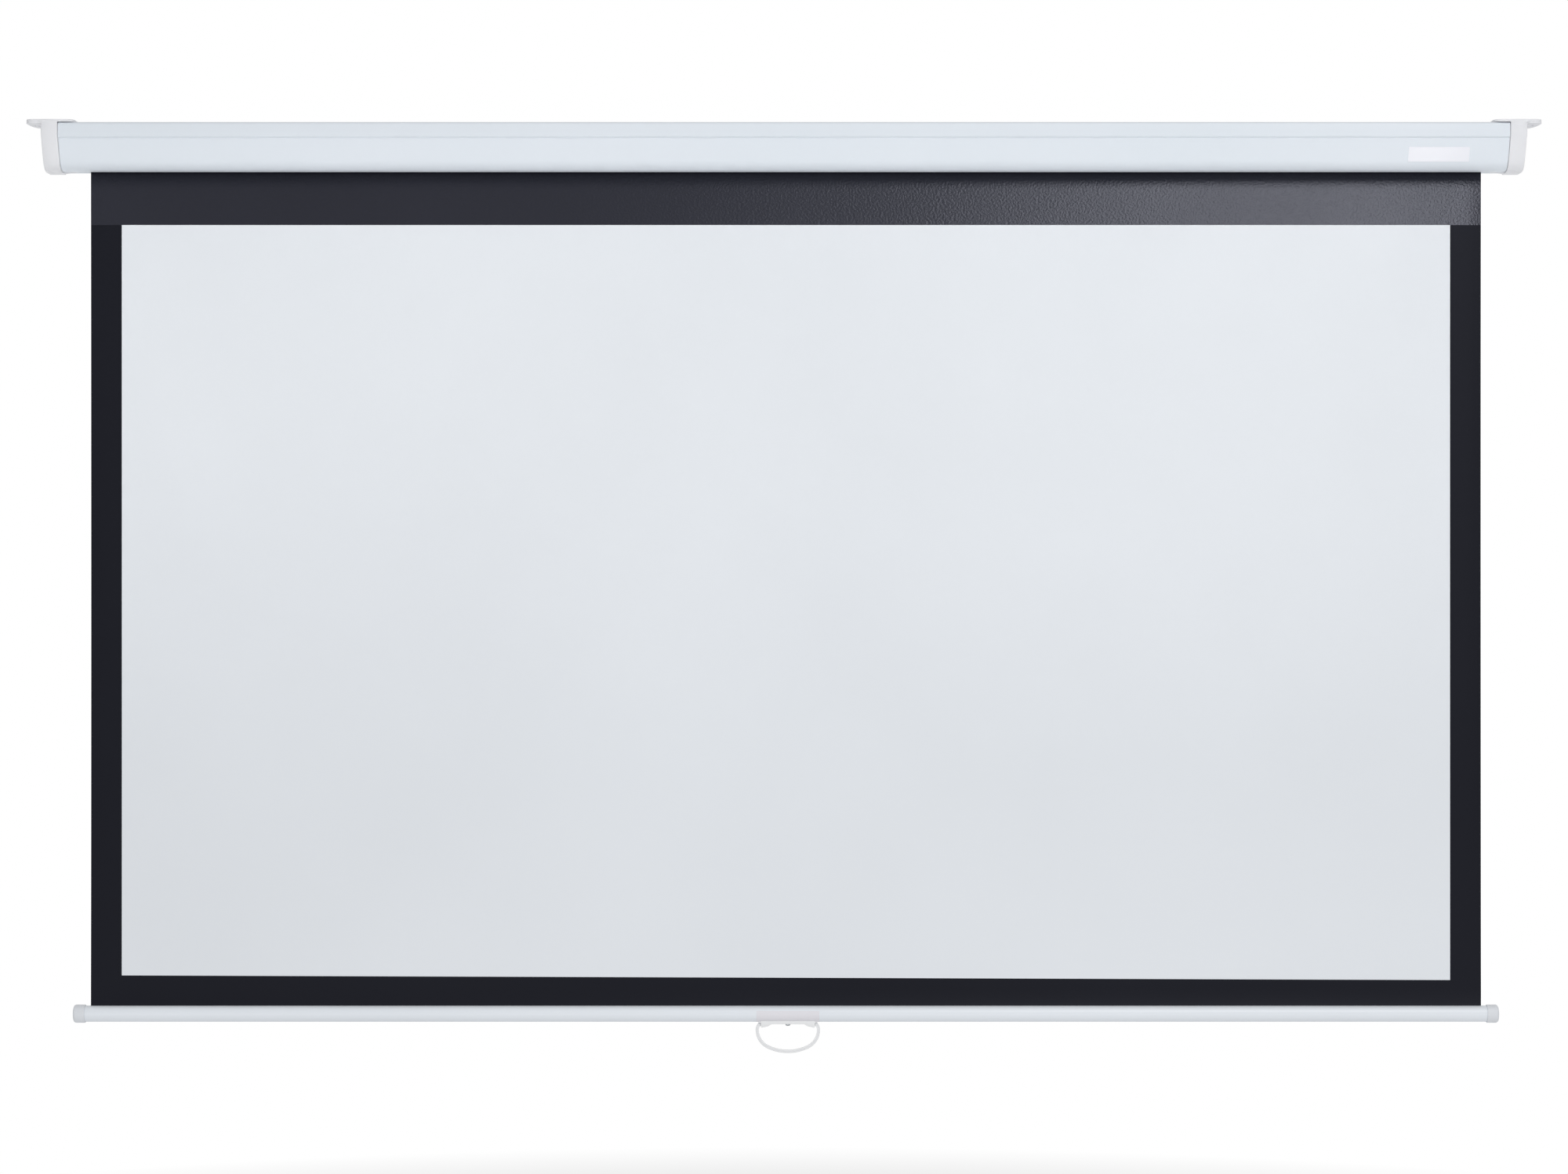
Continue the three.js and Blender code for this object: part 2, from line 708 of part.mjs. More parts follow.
// The head is pressed into the tube's left end. Its hub drives the spring, and its cup holds the
// pawls.
function ratchetHead() {
  const plug = rodX(plugRadius, -plugFace, -tubeEnd - bond);
  const hub = rodX(hubRadius, -plugFace + hubLength, -plugFace - bond);
  const flange = rodX(headFlangeRadius, -tubeEnd, -cupStart);
  const cup = cut(
    rodX(cupRadius, -cupStart + bond, -cupEnd),
    rodX(cupRadius - cupWall, -cupStart, -cupEnd - overrun),
  );
  const bore = rodX(spindleRadius + fitGap, -plugFace + hubLength + overrun, -cupEnd - overrun, {
    sides: smallSides,
  });
  const pinHoles = [-1, 1].map((side) =>
    rodX(pinRadius + fitGap, -(cupEnd - pinLength) + fitGap, -cupEnd, {
      y: side * pawlPivotRadius,
      sides: smallSides,
    }),
  );
  const notch = keyChannel(fitGap, -plugFace + overrun, -tubeEnd);
  return piece("ratchet_head", cut(join(plug, hub, flange, cup), bore, notch, ...pinHoles), nylon);
}

function headCover() {
  const from = -cupEnd - fitGap;
  const to = from - coverThickness;
  const disc = rodX(cupRadius, from, to);
  const bore = rodX(spindleRadius + fitGap, from + overrun, to - overrun, { sides: smallSides });
  return piece("head_cover", cut(disc, bore), nylon);
}

// A pawl lifted clear of the wheel, drawn about its pivot. It falls in by turning about +X.
function pawl(name, turnDeg) {
  const [inner, outer] = [pawlArmRadius - pawlArmWidth / 2, pawlArmRadius + pawlArmWidth / 2];
  const toothFrom = pawlSpanDeg - toothSpanDeg;
  const outline = [
    ...arc(0, 0, outer, outer, 0, pawlSpanDeg, lockSteps),
    ...arc(0, 0, pawlTipRadius, pawlTipRadius, pawlSpanDeg, toothFrom, 2),
    ...arc(0, 0, inner, inner, toothFrom, 0, lockSteps),
  ];
  const from = -(cupStart + cupEnd - pawlThickness) / 2;
  const to = -(cupStart + cupEnd + pawlThickness) / 2;
  const arm = prismX(outline, from, to);
  const eye = rodX(pawlEyeRadius, from, to, { y: pawlPivotRadius, sides: smallSides });
  const hole = rodX(pinRadius + fitGap, from + overrun, to - overrun, {
    y: pawlPivotRadius,
    sides: smallSides,
  });
  const geometry = toGeometry(cut(join(arm, eye), hole));
  const mesh = piece(name, geometry, darkSteel);
  mesh.rotation.x = radians(turnDeg);
  return mesh;
}

// Each notch drops by a steep face that stops a pawl, and climbs out by a long ramp.
function ratchetWheel() {
  const outline = [];
  for (let i = 0; i < notchCount; i++) {
    const face = notchFaceDeg + (i * 360) / notchCount;
    const rampStart = face - notchRampDeg + 360 / notchCount;
    const rim = arc(0, 0, wheelRadius, wheelRadius, face, rampStart, lockSteps);
    const root = face + 360 / notchCount;
    outline.push(...rim, ...arc(0, 0, wheelRoot, wheelRoot, root, root, 1).slice(1));
  }
  const middle = (cupStart + cupEnd) / 2;
  const [from, to] = [-middle - wheelThickness / 2, -middle + wheelThickness / 2];
  const bore = rodX(spindleRadius + fitGap, from - overrun, to + overrun, { sides: smallSides });
  return piece("ratchet_wheel", cut(prismX(outline, from, to), bore), darkSteel);
}

// The spindle is held still by its flat tang, in the left end cap.
function springSpindle() {
  const tangStart = -bossFace + tangShoulder;
  const rod = rodX(spindleRadius, -bushEnd, tangStart - bond, { sides: smallSides });
  const tang = block(
    [-bossFace - tangLength, -tangThickness / 2, -tangWidth / 2],
    [tangStart, tangThickness / 2, tangWidth / 2],
  );
  return piece("spring_spindle", join(rod, tang), darkSteel);
}

function fixedHub() {
  const from = -fixedHubEnd;
  const to = from + hubLength;
  const hub = rodX(hubRadius, from, to);
  const bore = rodX(spindleRadius + fitGap, from - overrun, to + overrun, { sides: smallSides });
  return piece("spring_fixed_hub", cut(hub, bore), nylon);
}

function spindleBush() {
  const from = -bushEnd - springBushLength;
  const ring = rodX(plugRadius, from, -bushEnd);
  const bore = rodX(spindleRadius + fitGap, from - overrun, -bushEnd + overrun, { sides: smallSides });
  const notch = keyChannel(fitGap, from - overrun, -bushEnd + overrun);
  return piece("spindle_bush", cut(ring, bore, notch), nylon);
}

// The counterbalance spring: one wire, wound as a helix, with a flat cap at each end.
function driveSpring() {
  const rings = coilTurns * coilStepsPerTurn + 1;
  const positions = [];
  const centres = [];
  for (let i = 0; i < rings; i++) {
    const angle = (i / coilStepsPerTurn) * 2 * Math.PI;
    const x = (i / coilStepsPerTurn) * coilPitch;
    centres.push(new THREE.Vector3(x, coilRadius * Math.cos(angle), coilRadius * Math.sin(angle)));
    for (let k = 0; k < coilSides; k++) {
      const around = (k / coilSides) * 2 * Math.PI;
      const radius = coilRadius + (wireDiameter / 2) * Math.cos(around);
      const along = x + (wireDiameter / 2) * Math.sin(around);
      positions.push(along, radius * Math.cos(angle), radius * Math.sin(angle));
    }
  }
  const index = [];
  for (let i = 0; i + 1 < rings; i++) {
    for (let k = 0; k < coilSides; k++) {
      const [a, b] = [i * coilSides + k, i * coilSides + ((k + 1) % coilSides)];
      index.push(a, a + coilSides, b, b, a + coilSides, b + coilSides);
    }
  }
  const last = (rings - 1) * coilSides;
  for (let k = 1; k + 1 < coilSides; k++) {
    index.push(0, k, k + 1, last, last + k + 1, last + k);
  }
  const gaps = centres
    .slice(coilStepsPerTurn)
    .map((centre, i) => centre.distanceTo(centres[i]) - wireDiameter);
  console.log(`drive spring: least gap between coils ${Math.min(...gaps).toFixed(2)} mm`);
  const geometry = new THREE.BufferGeometry();
  geometry.setAttribute("position", new THREE.Float32BufferAttribute(positions, 3));
  geometry.setIndex(index);
  geometry.computeVertexNormals();
  return at(piece("drive_spring", geometry, springSteel), -springStart, 0, 0);
}

function idlerPlug() {
  const plug = rodX(plugRadius, plugFace, tubeEnd + bond);
  const flange = rodX(flangeRadius, tubeEnd, cupStart);
  const bore = rodX(idlerPinRadius + fitGap, tubeEnd - idlerPinInset - fitGap, cupStart + overrun, {
    sides: smallSides,
  });
  const notch = keyChannel(fitGap, plugFace - overrun, tubeEnd);
  return piece("idler_plug", cut(join(plug, flange), bore, notch), nylon);
}

function idlerPin() {
  const pin = rodX(idlerPinRadius, tubeEnd - idlerPinInset, bossFace + bushLength - fitGap, {
    sides: smallSides,
  });
  return piece("idler_pin", pin, darkSteel);
}

function idlerBush() {
  const sleeve = rodX(bushRadius, bossFace - bond, bossFace + bushLength);
  const flange = rodX(bushFlangeRadius, bossFace - fitGap - bushFlangeThickness, bossFace - fitGap);
  const bore = rodX(idlerPinRadius + fitGap, bossFace - overrun, bossFace + bushLength + overrun, {
    sides: smallSides,
  });
  return piece("idler_bush", cut(join(sleeve, flange), bore), nylon);
}

function rollerGroup() {
  const group = new THREE.Group();
  group.add(rollerTube(), clothSpline(), clothWrap());
  group.add(ratchetHead(), headCover(), ...pawlPins(), pawl("upper_pawl", 0), pawl("lower_pawl", 180));
  group.add(ratchetWheel(), springSpindle(), fixedHub(), spindleBush(), driveSpring());
  group.add(idlerPlug(), idlerPin(), idlerBush());
  return at(group, 0, rollerY, rollerZ);
}

// Cloth. One sheet, parted along its printed edges, so that each colour is a piece.

function sheet(name, corners, material) {
  const points = corners.map(([x, z]) => new THREE.Vector2(x, z));
  return piece(name, prismY(points, -clothThickness / 2, clothThickness / 2), material);
}

function clothGroup() {
  const half = clothWidth / 2;
  const picture = imageWidth / 2;
  const imageFoot = imageTop - imageHeight;
  const [leftFoot, rightFoot] = [imageFoot + printSkew / 2, imageFoot - printSkew / 2];
  const group = new THREE.Group();
  group.add(
    sheet(
      "black_drop",
      [[-half, imageTop], [half, imageTop], [half, rollerZ - fitGap], [-half, rollerZ - fitGap]],
      dropBlack,
    ),
    sheet(
      "image_cloth",
      [[-picture, imageTop], [-picture, leftFoot], [picture, rightFoot], [picture, imageTop]],
      imageWhite,
    ),
    sheet(
      "cloth_border",
      [
        [-half, imageTop], [-half, hemTop], [half, hemTop], [half, imageTop],
        [picture, imageTop], [picture, rightFoot], [-picture, leftFoot], [-picture, imageTop],
      ],
      borderBlack,
    ),
  );
  return at(group, clothShift, clothY, 0);
}

// Weight bar. These are drawn on the bar's axis.

function barTube() {
  const half = barLength / 2 - barCapEnd;
  const ring = cut(rodX(barRadius, -half, half), rodX(barInner, -half - overrun, half + overrun));
  const slot = block(
    [-half - overrun, -barSlotWidth / 2, 0],
    [half + overrun, barSlotWidth / 2, barRadius + overrun],
  );
  const reach = -barRadius + baseScrewLength;
  const screwHole = rodZ(baseScrewRadius + fitGap, -barRadius - overrun, reach, { x: handleShift });
  return piece("bar_tube", cut(ring, slot, screwHole), barPaint);
}

// A domed cap whose skirt goes over the tube and whose plug goes inside it.
function barCap(name, side) {
  const outside = barRadius + fitGap + barCapWall;
  const end = barLength / 2;
  const mouth = end - barCapSkirt;
  const dome = new THREE.EllipseCurve(
    outside - barCapRounding, end - barCapRounding, barCapRounding, barCapRounding, 0, Math.PI / 2,
  ).getPoints(cornerSteps).map((point) => [point.x, point.y]);
  const inset = end - barCapEnd + fitGap;
  const plug = barInner - fitGap;
  const profile = [
    [0, inset - barPlugLength],
    [plug, inset - barPlugLength],
    [plug, inset],
    [barRadius + fitGap, inset],
    [barRadius + fitGap, mouth],
    [outside, mouth],
    ...dome,
    [0, end],
  ];
  const solid = toSolid(turned(profile, roundSides).rotateZ(-Math.PI / 2));
  const cap = piece(name, solid, barPlastic);
  cap.rotation.z = side > 0 ? 0 : Math.PI;
  return cap;
}

const loopRadius = hemRodRadius + fitGap + clothThickness;
const slotEdgeZ = Math.sqrt(barInner ** 2 - (barSlotWidth / 2) ** 2);
const hemZ = slotEdgeZ - Math.sqrt((loopRadius + fitGap) ** 2 - (barSlotWidth / 2) ** 2);

function hemRod() {
  const half = clothWidth / 2 - hemRodMargin;
  return piece("hem_rod", rodX(hemRodRadius, -half, half, { z: hemZ, sides: smallSides }), darkSteel);
}

// The foot of the cloth: its last stretch of border, and the sewn loop that holds the rod.
function clothHem() {
  const half = clothWidth / 2;
  const loop = cut(
    rodX(loopRadius, -half, half, { z: hemZ, sides: smallSides }),
    rodX(loopRadius - clothThickness, -half - overrun, half + overrun, { z: hemZ, sides: smallSides }),
  );
  const strip = block(
    [-half, -clothThickness / 2, hemZ + loopRadius - clothThickness],
    [half, clothThickness / 2, barRadius + hemStrip],
  );
  return piece("cloth_hem", join(loop, strip), borderBlack);
}

const baseLength = handleWidth - 2 * handleShoulder;

// Handle base: a saddle under the bar, with a wing at each end that holds the loop's pins.
function handleBase() {
  const half = baseLength / 2;
  const underBar = -barRadius;
  const plateFoot = underBar - baseThickness;
  const wingFoot = underBar - wingHeight;
  const cheek = underBar + baseThickness;
  const wingFootShare = 0.97;
  const wingKneeShare = 0.73;
  const wingStartShare = 0.6;
  const kneeDepthShare = 0.57;
  const kneeZ = plateFoot + (wingFoot - plateFoot) * kneeDepthShare;
  const rightSide = [
    [half, cheek],
    [half, wingFoot + baseThickness / 2],
    [half * wingFootShare, wingFoot],
    [half * wingKneeShare, kneeZ],
    [half * wingStartShare, plateFoot],
  ];
  const leftSide = rightSide.map(([x, z]) => [-x, z]).reverse();
  const points = [...rightSide, ...leftSide].map(([x, z]) => new THREE.Vector2(x, z));
  const body = prismY(points, -baseDepth / 2, baseDepth / 2);
  const pivotZ = underBar - pivotDrop;
  const pinHoles = rodX(handlePinRadius + fitGap, -half - overrun, -half + handlePinLength, {
    z: pivotZ,
    sides: smallSides,
  }).add(
    rodX(handlePinRadius + fitGap, half - handlePinLength, half + overrun, { z: pivotZ, sides: smallSides }),
  );
  const barRoom = rodX(barRadius + fitGap, -half - overrun, half + overrun);
  const screwHole = rodZ(baseScrewRadius + fitGap, wingFoot - overrun, cheek + overrun);
  return piece("handle_base", cut(body, barRoom, pinHoles, screwHole), handlePlastic);
}

function handleScrew() {
  const head = baseScrewHeadRadius;
  const profile = [
    [0, -baseScrewHeadHeight],
    [head - baseScrewHeadHeight / 2, -baseScrewHeadHeight],
    [head, -baseScrewHeadHeight / 2],
    [head, 0],
    [baseScrewRadius, 0],
    [baseScrewRadius, baseScrewLength - 2 * baseScrewRadius],
    [0, baseScrewLength],
  ];
  const screw = piece("handle_screw", toSolid(turned(profile).rotateX(Math.PI / 2)), screwZinc);
  return at(screw, 0, 0, -barRadius - baseThickness - fitGap);
}

// The loop hangs from two pins. It is drawn about their axis.
function pullHandle() {
  const eyeX = baseLength / 2 + fitGap + bailEyeThickness / 2;
  const widest = (handleWidth - bailWidth) / 2;
  const foot = handleDrop - pivotDrop - bailWidth / 2;
  // Half of the loop's line, from an eye to the foot, as shares of its half width and its drop.
  const bailShares = [
    [(eyeX + widest) / 2 / widest, 0.05],
    [1, 0.24],
    [0.955, 0.52],
    [0.8, 0.73],
    [0.51, 0.886],
    [0, 1],
  ];
  const half = bailShares.map(([across, down]) => new THREE.Vector3(across * widest, 0, -down * foot));
  const otherHalf = half.slice(0, -1).reverse().map((point) => new THREE.Vector3(-point.x, 0, point.z));
  const line = new THREE.CatmullRomCurve3([
    new THREE.Vector3(eyeX, 0, 0),
    ...half,
    ...otherHalf,
    new THREE.Vector3(-eyeX, 0, 0),
  ]);
  const [across, deep] = [bailWidth / 2, bailDepth / 2];
  const section = roundedRectangle(-deep, deep, -across, across, bailWidth / 3);
  const swept = new THREE.ExtrudeGeometry(new THREE.Shape(section), {
    steps: bailSteps,
    extrudePath: line,
  });
  const ends = [-1, 1].flatMap((side) => {
    const [from, to] = [side * (eyeX - bailEyeThickness / 2), side * (eyeX + bailEyeThickness / 2)];
    const pinFrom = side * (baseLength / 2 - handlePinLength + fitGap);
    return [
      rodX(bailEyeRadius, from, to, { sides: smallSides }),
      rodX(handlePinRadius, pinFrom, to, { sides: smallSides }),
    ];
  });
  const handle = piece("pull_handle", join(toSolid(swept), ...ends), handlePlastic);
  return at(handle, 0, 0, -barRadius - pivotDrop);
}

function handleGroup() {
  const group = new THREE.Group();
  group.add(handleBase(), handleScrew(), pullHandle());
  return at(group, handleShift, 0, 0);
}

function barGroup() {
  const group = new THREE.Group();
  group.add(barTube(), barCap("bar_cap_left", -1), barCap("bar_cap_right", 1), hemRod(), clothHem());
  group.add(handleGroup());
  return at(group, clothShift, clothY, barTop - barRadius);
}

const projectionScreen = new THREE.Group();
projectionScreen.add(caseGroup(), rollerGroup(), clothGroup(), barGroup());

export default projectionScreen;
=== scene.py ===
# %% [markdown]
# # A pull-down projection screen
# A slim white case holds a spring roller. The cloth hangs from the roller through a slot under the
# case, and a round weight bar keeps it flat. The solid model is loaded first. It fixes every size
# and place, and the pieces made here are its finished surfaces.

import math

import bmesh
import bpy
from mathutils import Matrix, Vector


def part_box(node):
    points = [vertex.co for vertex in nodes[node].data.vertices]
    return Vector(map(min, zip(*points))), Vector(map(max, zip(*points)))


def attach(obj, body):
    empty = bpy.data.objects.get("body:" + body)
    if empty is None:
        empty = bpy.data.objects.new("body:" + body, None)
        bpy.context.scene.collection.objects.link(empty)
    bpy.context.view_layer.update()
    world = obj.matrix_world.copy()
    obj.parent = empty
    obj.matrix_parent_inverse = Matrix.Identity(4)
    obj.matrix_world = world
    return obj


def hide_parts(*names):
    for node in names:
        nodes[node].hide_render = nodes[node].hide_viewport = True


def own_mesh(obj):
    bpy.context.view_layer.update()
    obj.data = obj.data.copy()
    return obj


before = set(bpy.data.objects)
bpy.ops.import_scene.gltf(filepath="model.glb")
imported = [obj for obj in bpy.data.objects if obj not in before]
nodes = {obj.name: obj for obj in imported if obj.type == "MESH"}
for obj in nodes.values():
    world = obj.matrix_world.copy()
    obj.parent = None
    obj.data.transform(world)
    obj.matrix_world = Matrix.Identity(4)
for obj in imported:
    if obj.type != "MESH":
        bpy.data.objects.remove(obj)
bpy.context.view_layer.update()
scene = bpy.context.scene

# %% [markdown]
# The workshop drawing is in millimetres and Blender works in metres, so a length on a piece is
# written as a number of millimetres times MM. Only the camera, the lamps and the floor are placed
# in metres. The places of the main pieces are read from the solid model. Pieces that fit together
# have the same small play between them everywhere.

# %% Sizes that several pieces share
MM = 0.001
play = 0.3 * MM
X_AXIS, Y_AXIS, Z_AXIS = Vector((1, 0, 0)), Vector((0, 1, 0)), Vector((0, 0, 1))

case_low, case_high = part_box("case_shell")
drop_low, drop_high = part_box("black_drop")
image_low, image_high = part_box("image_cloth")
border_low, border_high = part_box("cloth_border")
hem_low, hem_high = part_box("cloth_hem")
bar_low, bar_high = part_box("bar_tube")
roller_low, roller_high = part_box("roller_tube")

cloth_y = (drop_low.y + drop_high.y) / 2
cloth_thickness = drop_high.y - drop_low.y
cloth_middle = (drop_low.x + drop_high.x) / 2
bar_z = (bar_low.z + bar_high.z) / 2
bar_radius = (bar_high.z - bar_low.z) / 2
roller_y = (roller_low.y + roller_high.y) / 2
roller_z = (roller_low.z + roller_high.z) / 2
print(f"cloth at y {cloth_y:.4f}, bar's axis at z {bar_z:.4f}")
print(f"roller's axis at y {roller_y:.4f}, z {roller_z:.4f}")

# %% [markdown]
# ## Drawing with a pen
# A rolled or extruded piece has one section all along, so the section is drawn and then pulled out.
# The pen is a vertex. A straight stroke extrudes it, an arc spins it about a centre, and a corner
# is rounded afterwards with a vertex bevel, as a drawing's fillets are.

# %% The pen
def line_to(bm, tip, x, y, z):
    tip = bmesh.ops.extrude_vert_indiv(bm, verts=[tip])["verts"][0]
    tip.co = (x, y, z)
    return tip


def draw(bm, points):
    """Draws straight strokes from point to point, and gives the vertex at each point."""
    tips = [bm.verts.new(points[0])]
    for point in points[1:]:
        tips.append(line_to(bm, tips[-1], *point))
    return tips


def spin(bm, geom, centre, axis, degrees, steps, whole_turn=False):
    """Spins geometry about an axis, and gives what lies at the end of the spin."""
    return bmesh.ops.spin(
        bm, geom=geom, cent=centre, axis=axis, angle=math.radians(degrees), steps=steps,
        dvec=(0, 0, 0), use_merge=whole_turn, use_duplicate=False,
    )["geom_last"]


def only_points(geom):
    return [part for part in geom if isinstance(part, bmesh.types.BMVert)]


def arc_to(bm, tip, centre, axis, degrees, steps):
    return only_points(spin(bm, [tip], centre, axis, degrees, steps))[0]


def round_corners(bm, corners, offset, segments):
    bmesh.ops.bevel(
        bm, geom=corners, offset=offset, offset_type="OFFSET", affect="VERTICES",
        segments=segments, profile=0.5, material=-1, clamp_overlap=True,
    )


print("pen ready")

# %% [markdown]
# A closed outline is filled with one face and pulled out into a solid. An open line is pulled out
# into a strip, and the strip is then given the thickness of its sheet.

# %% From a line to a solid
def weld(bm, distance=0.001 * MM):
    bmesh.ops.remove_doubles(bm, verts=bm.verts[:], dist=distance)


def face_outwards(bm):
    bmesh.ops.recalc_face_normals(bm, faces=bm.faces[:])


def join_ends(bm):
    """Joins the pen's last point to its first."""
    weld(bm)
    ends = [v for v in bm.verts if len(v.link_edges) == 1]
    if len(ends) == 2:
        bm.edges.new(ends)


def pull_out(bm, way):
    """Fills an outline and extrudes the face along a straight way. The first face stays."""
    join_ends(bm)
    section = bmesh.ops.contextual_create(bm, geom=bm.edges[:])["faces"]
    made = bmesh.ops.extrude_face_region(bm, geom=section, use_keep_orig=True)
    bmesh.ops.translate(bm, verts=only_points(made["geom"]), vec=way)
    face_outwards(bm)


def pull_out_line(bm, way):
    """Extrudes an open line into a strip."""
    made = bmesh.ops.extrude_edge_only(bm, edges=bm.edges[:])
    bmesh.ops.translate(bm, verts=only_points(made["geom"]), vec=way)


def thicken(bm, thickness):
    bmesh.ops.solidify(bm, geom=bm.faces[:], thickness=thickness)
    face_outwards(bm)


print("outlines and strips ready")

# %% [markdown]
# ## From a bmesh to a piece
# A finished mesh becomes an object, rides on a body of the solid model, and hides the solid that
# it stands for. Edges sharper than the given angle stay crisp, and all others are shaded smooth.

# %% Finishing a piece
def new_object(name, data):
    made = bpy.data.objects.new(name, data)
    scene.collection.objects.link(made)
    return made


def shade(piece, smooth_degrees):
    piece.data.polygons.foreach_set("use_smooth", [True] * len(piece.data.polygons))
    piece.data.set_sharp_from_angle(angle=math.radians(smooth_degrees))
    piece.data.update()


def make_object(name, bm, smooth_degrees=32):
    mesh = bpy.data.meshes.new(name)
    bm.to_mesh(mesh)
    bm.free()
    piece = new_object(name, mesh)
    shade(piece, smooth_degrees)
    return piece


def dress(piece, material, body, slot, *stands_for):
    piece.data.materials.append(material)
    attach(piece, body)
    if stands_for:
        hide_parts(*stands_for)
    print(f"{piece.name}: {len(piece.data.polygons)} faces, on {body}")


print("finishing ready")

# %% [markdown]
# ## Shared effects
# Several finishes share an effect: the faint pebble of a powder coat, the fine grain of a
# moulding, dust with painted shade on what faces up, and a slow drift of tone across a large
# surface. Each effect is one node group with its own named inputs. A group only puts out colours,
# masks and heights, and the shader stays in the material.

# %% Node helpers
def new_group(name, inputs, outputs):
    """A node group. Inputs are (name, kind, default), and outputs are (name, kind)."""
    tree = bpy.data.node_groups.new(name, "ShaderNodeTree")
    for label, kind, default in inputs:
        socket = tree.interface.new_socket(label, in_out="INPUT", socket_type=kind)
        if default is not None:
            socket.default_value = default
    for label, kind in outputs:
        tree.interface.new_socket(label, in_out="OUTPUT", socket_type=kind)
    return tree, tree.nodes.new("NodeGroupInput"), tree.nodes.new("NodeGroupOutput")


def add(tree, kind, **settings):
    node = tree.nodes.new("ShaderNode" + kind)
    for key, value in settings.items():
        setattr(node, key, value)
    return node


def feed(tree, socket, value):
    """Links another node's output to a socket, or gives the socket a fixed value."""
    if isinstance(value, bpy.types.NodeSocket):
        tree.links.new(value, socket)
    else:
        socket.default_value = value


def maths(tree, operation, *values, clamp=False):
    node = add(tree, "Math", operation=operation, use_clamp=clamp)
    for socket, value in zip(node.inputs, values):
        feed(tree, socket, value)
    return node.outputs[0]


def noise(tree, vector, scale, detail=2.0, roughness=0.5):
    node = add(tree, "TexNoise")
    for label, value in (
        ("Vector", vector), ("Scale", scale), ("Detail", detail), ("Roughness", roughness),
    ):
        feed(tree, node.inputs[label], value)
    return node.outputs["Fac"]


def mix_colour(tree, share, first, second):
    node = add(tree, "Mix", data_type="RGBA")
    for index, value in ((0, share), (6, first), (7, second)):
        feed(tree, node.inputs[index], value)
    return node.outputs[2]


print("node helpers ready")

# %% [markdown]
# **Pebble.** Powder coat flows into low hills about a millimetre and a half across. Moulded
# plastic has a much finer spark-eroded grain. Both are noise at two sizes, fed to a Bump node. The
# size of a hill, Cell, is given in millimetres.

# %% The pebble group
VECTOR, FLOAT, COLOUR = "NodeSocketVector", "NodeSocketFloat", "NodeSocketColor"

tree, start, end = new_group(
    "surface_pebble",
    [("Place", VECTOR, None), ("Cell", FLOAT, 1.5), ("Fine Share", FLOAT, 0.3)],
    [("Height", FLOAT)],
)
per_metre = maths(tree, "DIVIDE", 1 / MM, start.outputs["Cell"])
hills = noise(tree, start.outputs["Place"], per_metre, 1.0)
fine_scale = maths(tree, "MULTIPLY", per_metre, 4.0)
fine = noise(tree, start.outputs["Place"], fine_scale, 2.0)
fine_part = maths(tree, "MULTIPLY", fine, start.outputs["Fine Share"])
tree.links.new(maths(tree, "ADD", hills, fine_part), end.inputs["Height"])
pebble_group = tree
print(tree.name, "made")

# %% [markdown]
# **Drift.** No large surface has quite one tone. This mask is a slow noise that moves the colour a
# little lighter and darker across the piece.

# %% The drift group
GREY = (0.8, 0.8, 0.8, 1)
drift_contrast, drift_offset = 2.4, -0.7

tree, start, end = new_group(
    "slow_drift",
    [("Place", VECTOR, None), ("Base", COLOUR, GREY), ("Other", COLOUR, GREY),
     ("Scale", FLOAT, 2.0)],
    [("Colour", COLOUR), ("Mask", FLOAT)],
)
clouds = noise(tree, start.outputs["Place"], start.outputs["Scale"], 3.0)
spread = maths(tree, "MULTIPLY_ADD", clouds, drift_contrast, drift_offset)
mask = maths(tree, "MINIMUM", maths(tree, "MAXIMUM", spread, 0.0), 1.0)
drifted = mix_colour(tree, mask, start.outputs["Base"], start.outputs["Other"])
tree.links.new(drifted, end.inputs["Colour"])
tree.links.new(mask, end.inputs["Mask"])
drift_group = tree
print(tree.name, "made")

# %% [markdown]
# ** Dust and painted shade.** A screen hangs for years, and dust settles on what faces up. The
# same mask also paints shade: on the case it darkens the top edge, where less light falls. The
# mask is how far the surface's own normal points up, broken by noise. It uses the piece's own
# normal, so it stays put when a piece moves.

# %% The dust and painted shade group
DUST_AND_SHADE_COLOUR = (0.42, 0.40, 0.37, 1)
patch_scale, patch_detail, patch_roughness = 90.0, 4.0, 0.65

tree, start, end = new_group(
    "dust_and_top_shade",
    [("Place", VECTOR, None), ("Facing", VECTOR, None), ("Colour", COLOUR, GREY),
     ("Amount", FLOAT, 0.4)],
    [("Colour", COLOUR), ("Mask", FLOAT)],
)
split = add(tree, "SeparateXYZ")
tree.links.new(start.outputs["Facing"], split.inputs[0])
# No dust or painted shade lies where the normal's Z is below 0.6, and the full amount lies where Z is
# 1.
upward = maths(tree, "MULTIPLY_ADD", split.outputs["Z"], 2.5, -1.5, clamp=True)
patches = noise(tree, start.outputs["Place"], patch_scale, patch_detail, patch_roughness)
broken = maths(tree, "MULTIPLY", upward, patches)
dust_and_shade = maths(tree, "MULTIPLY", broken, start.outputs["Amount"], clamp=True)
covered = mix_colour(tree, dust_and_shade, start.outputs["Colour"], DUST_AND_SHADE_COLOUR)
tree.links.new(covered, end.inputs["Colour"])
tree.links.new(dust_and_shade, end.inputs["Mask"])
dust_and_top_shade_group = tree
print(tree.name, "made")

# %% [markdown]
# **Weave.** The cloth is glass-fibre scrim under vinyl. The threads press through as fine ridges,
# about half a millimetre apart. Two waves on the cloth's own map give the ridges. The weft, which
# runs across the screen, stands higher than the warp, and noise keeps both from being perfect.

# %% The weave group
# A wave texture with a scale of 1 runs through this many radians in a metre.
WAVE_RADIANS = 20
thread_wobble = 0.4
slub_scale, slub_strength, plain_strength = 300.0, 0.6, 0.7

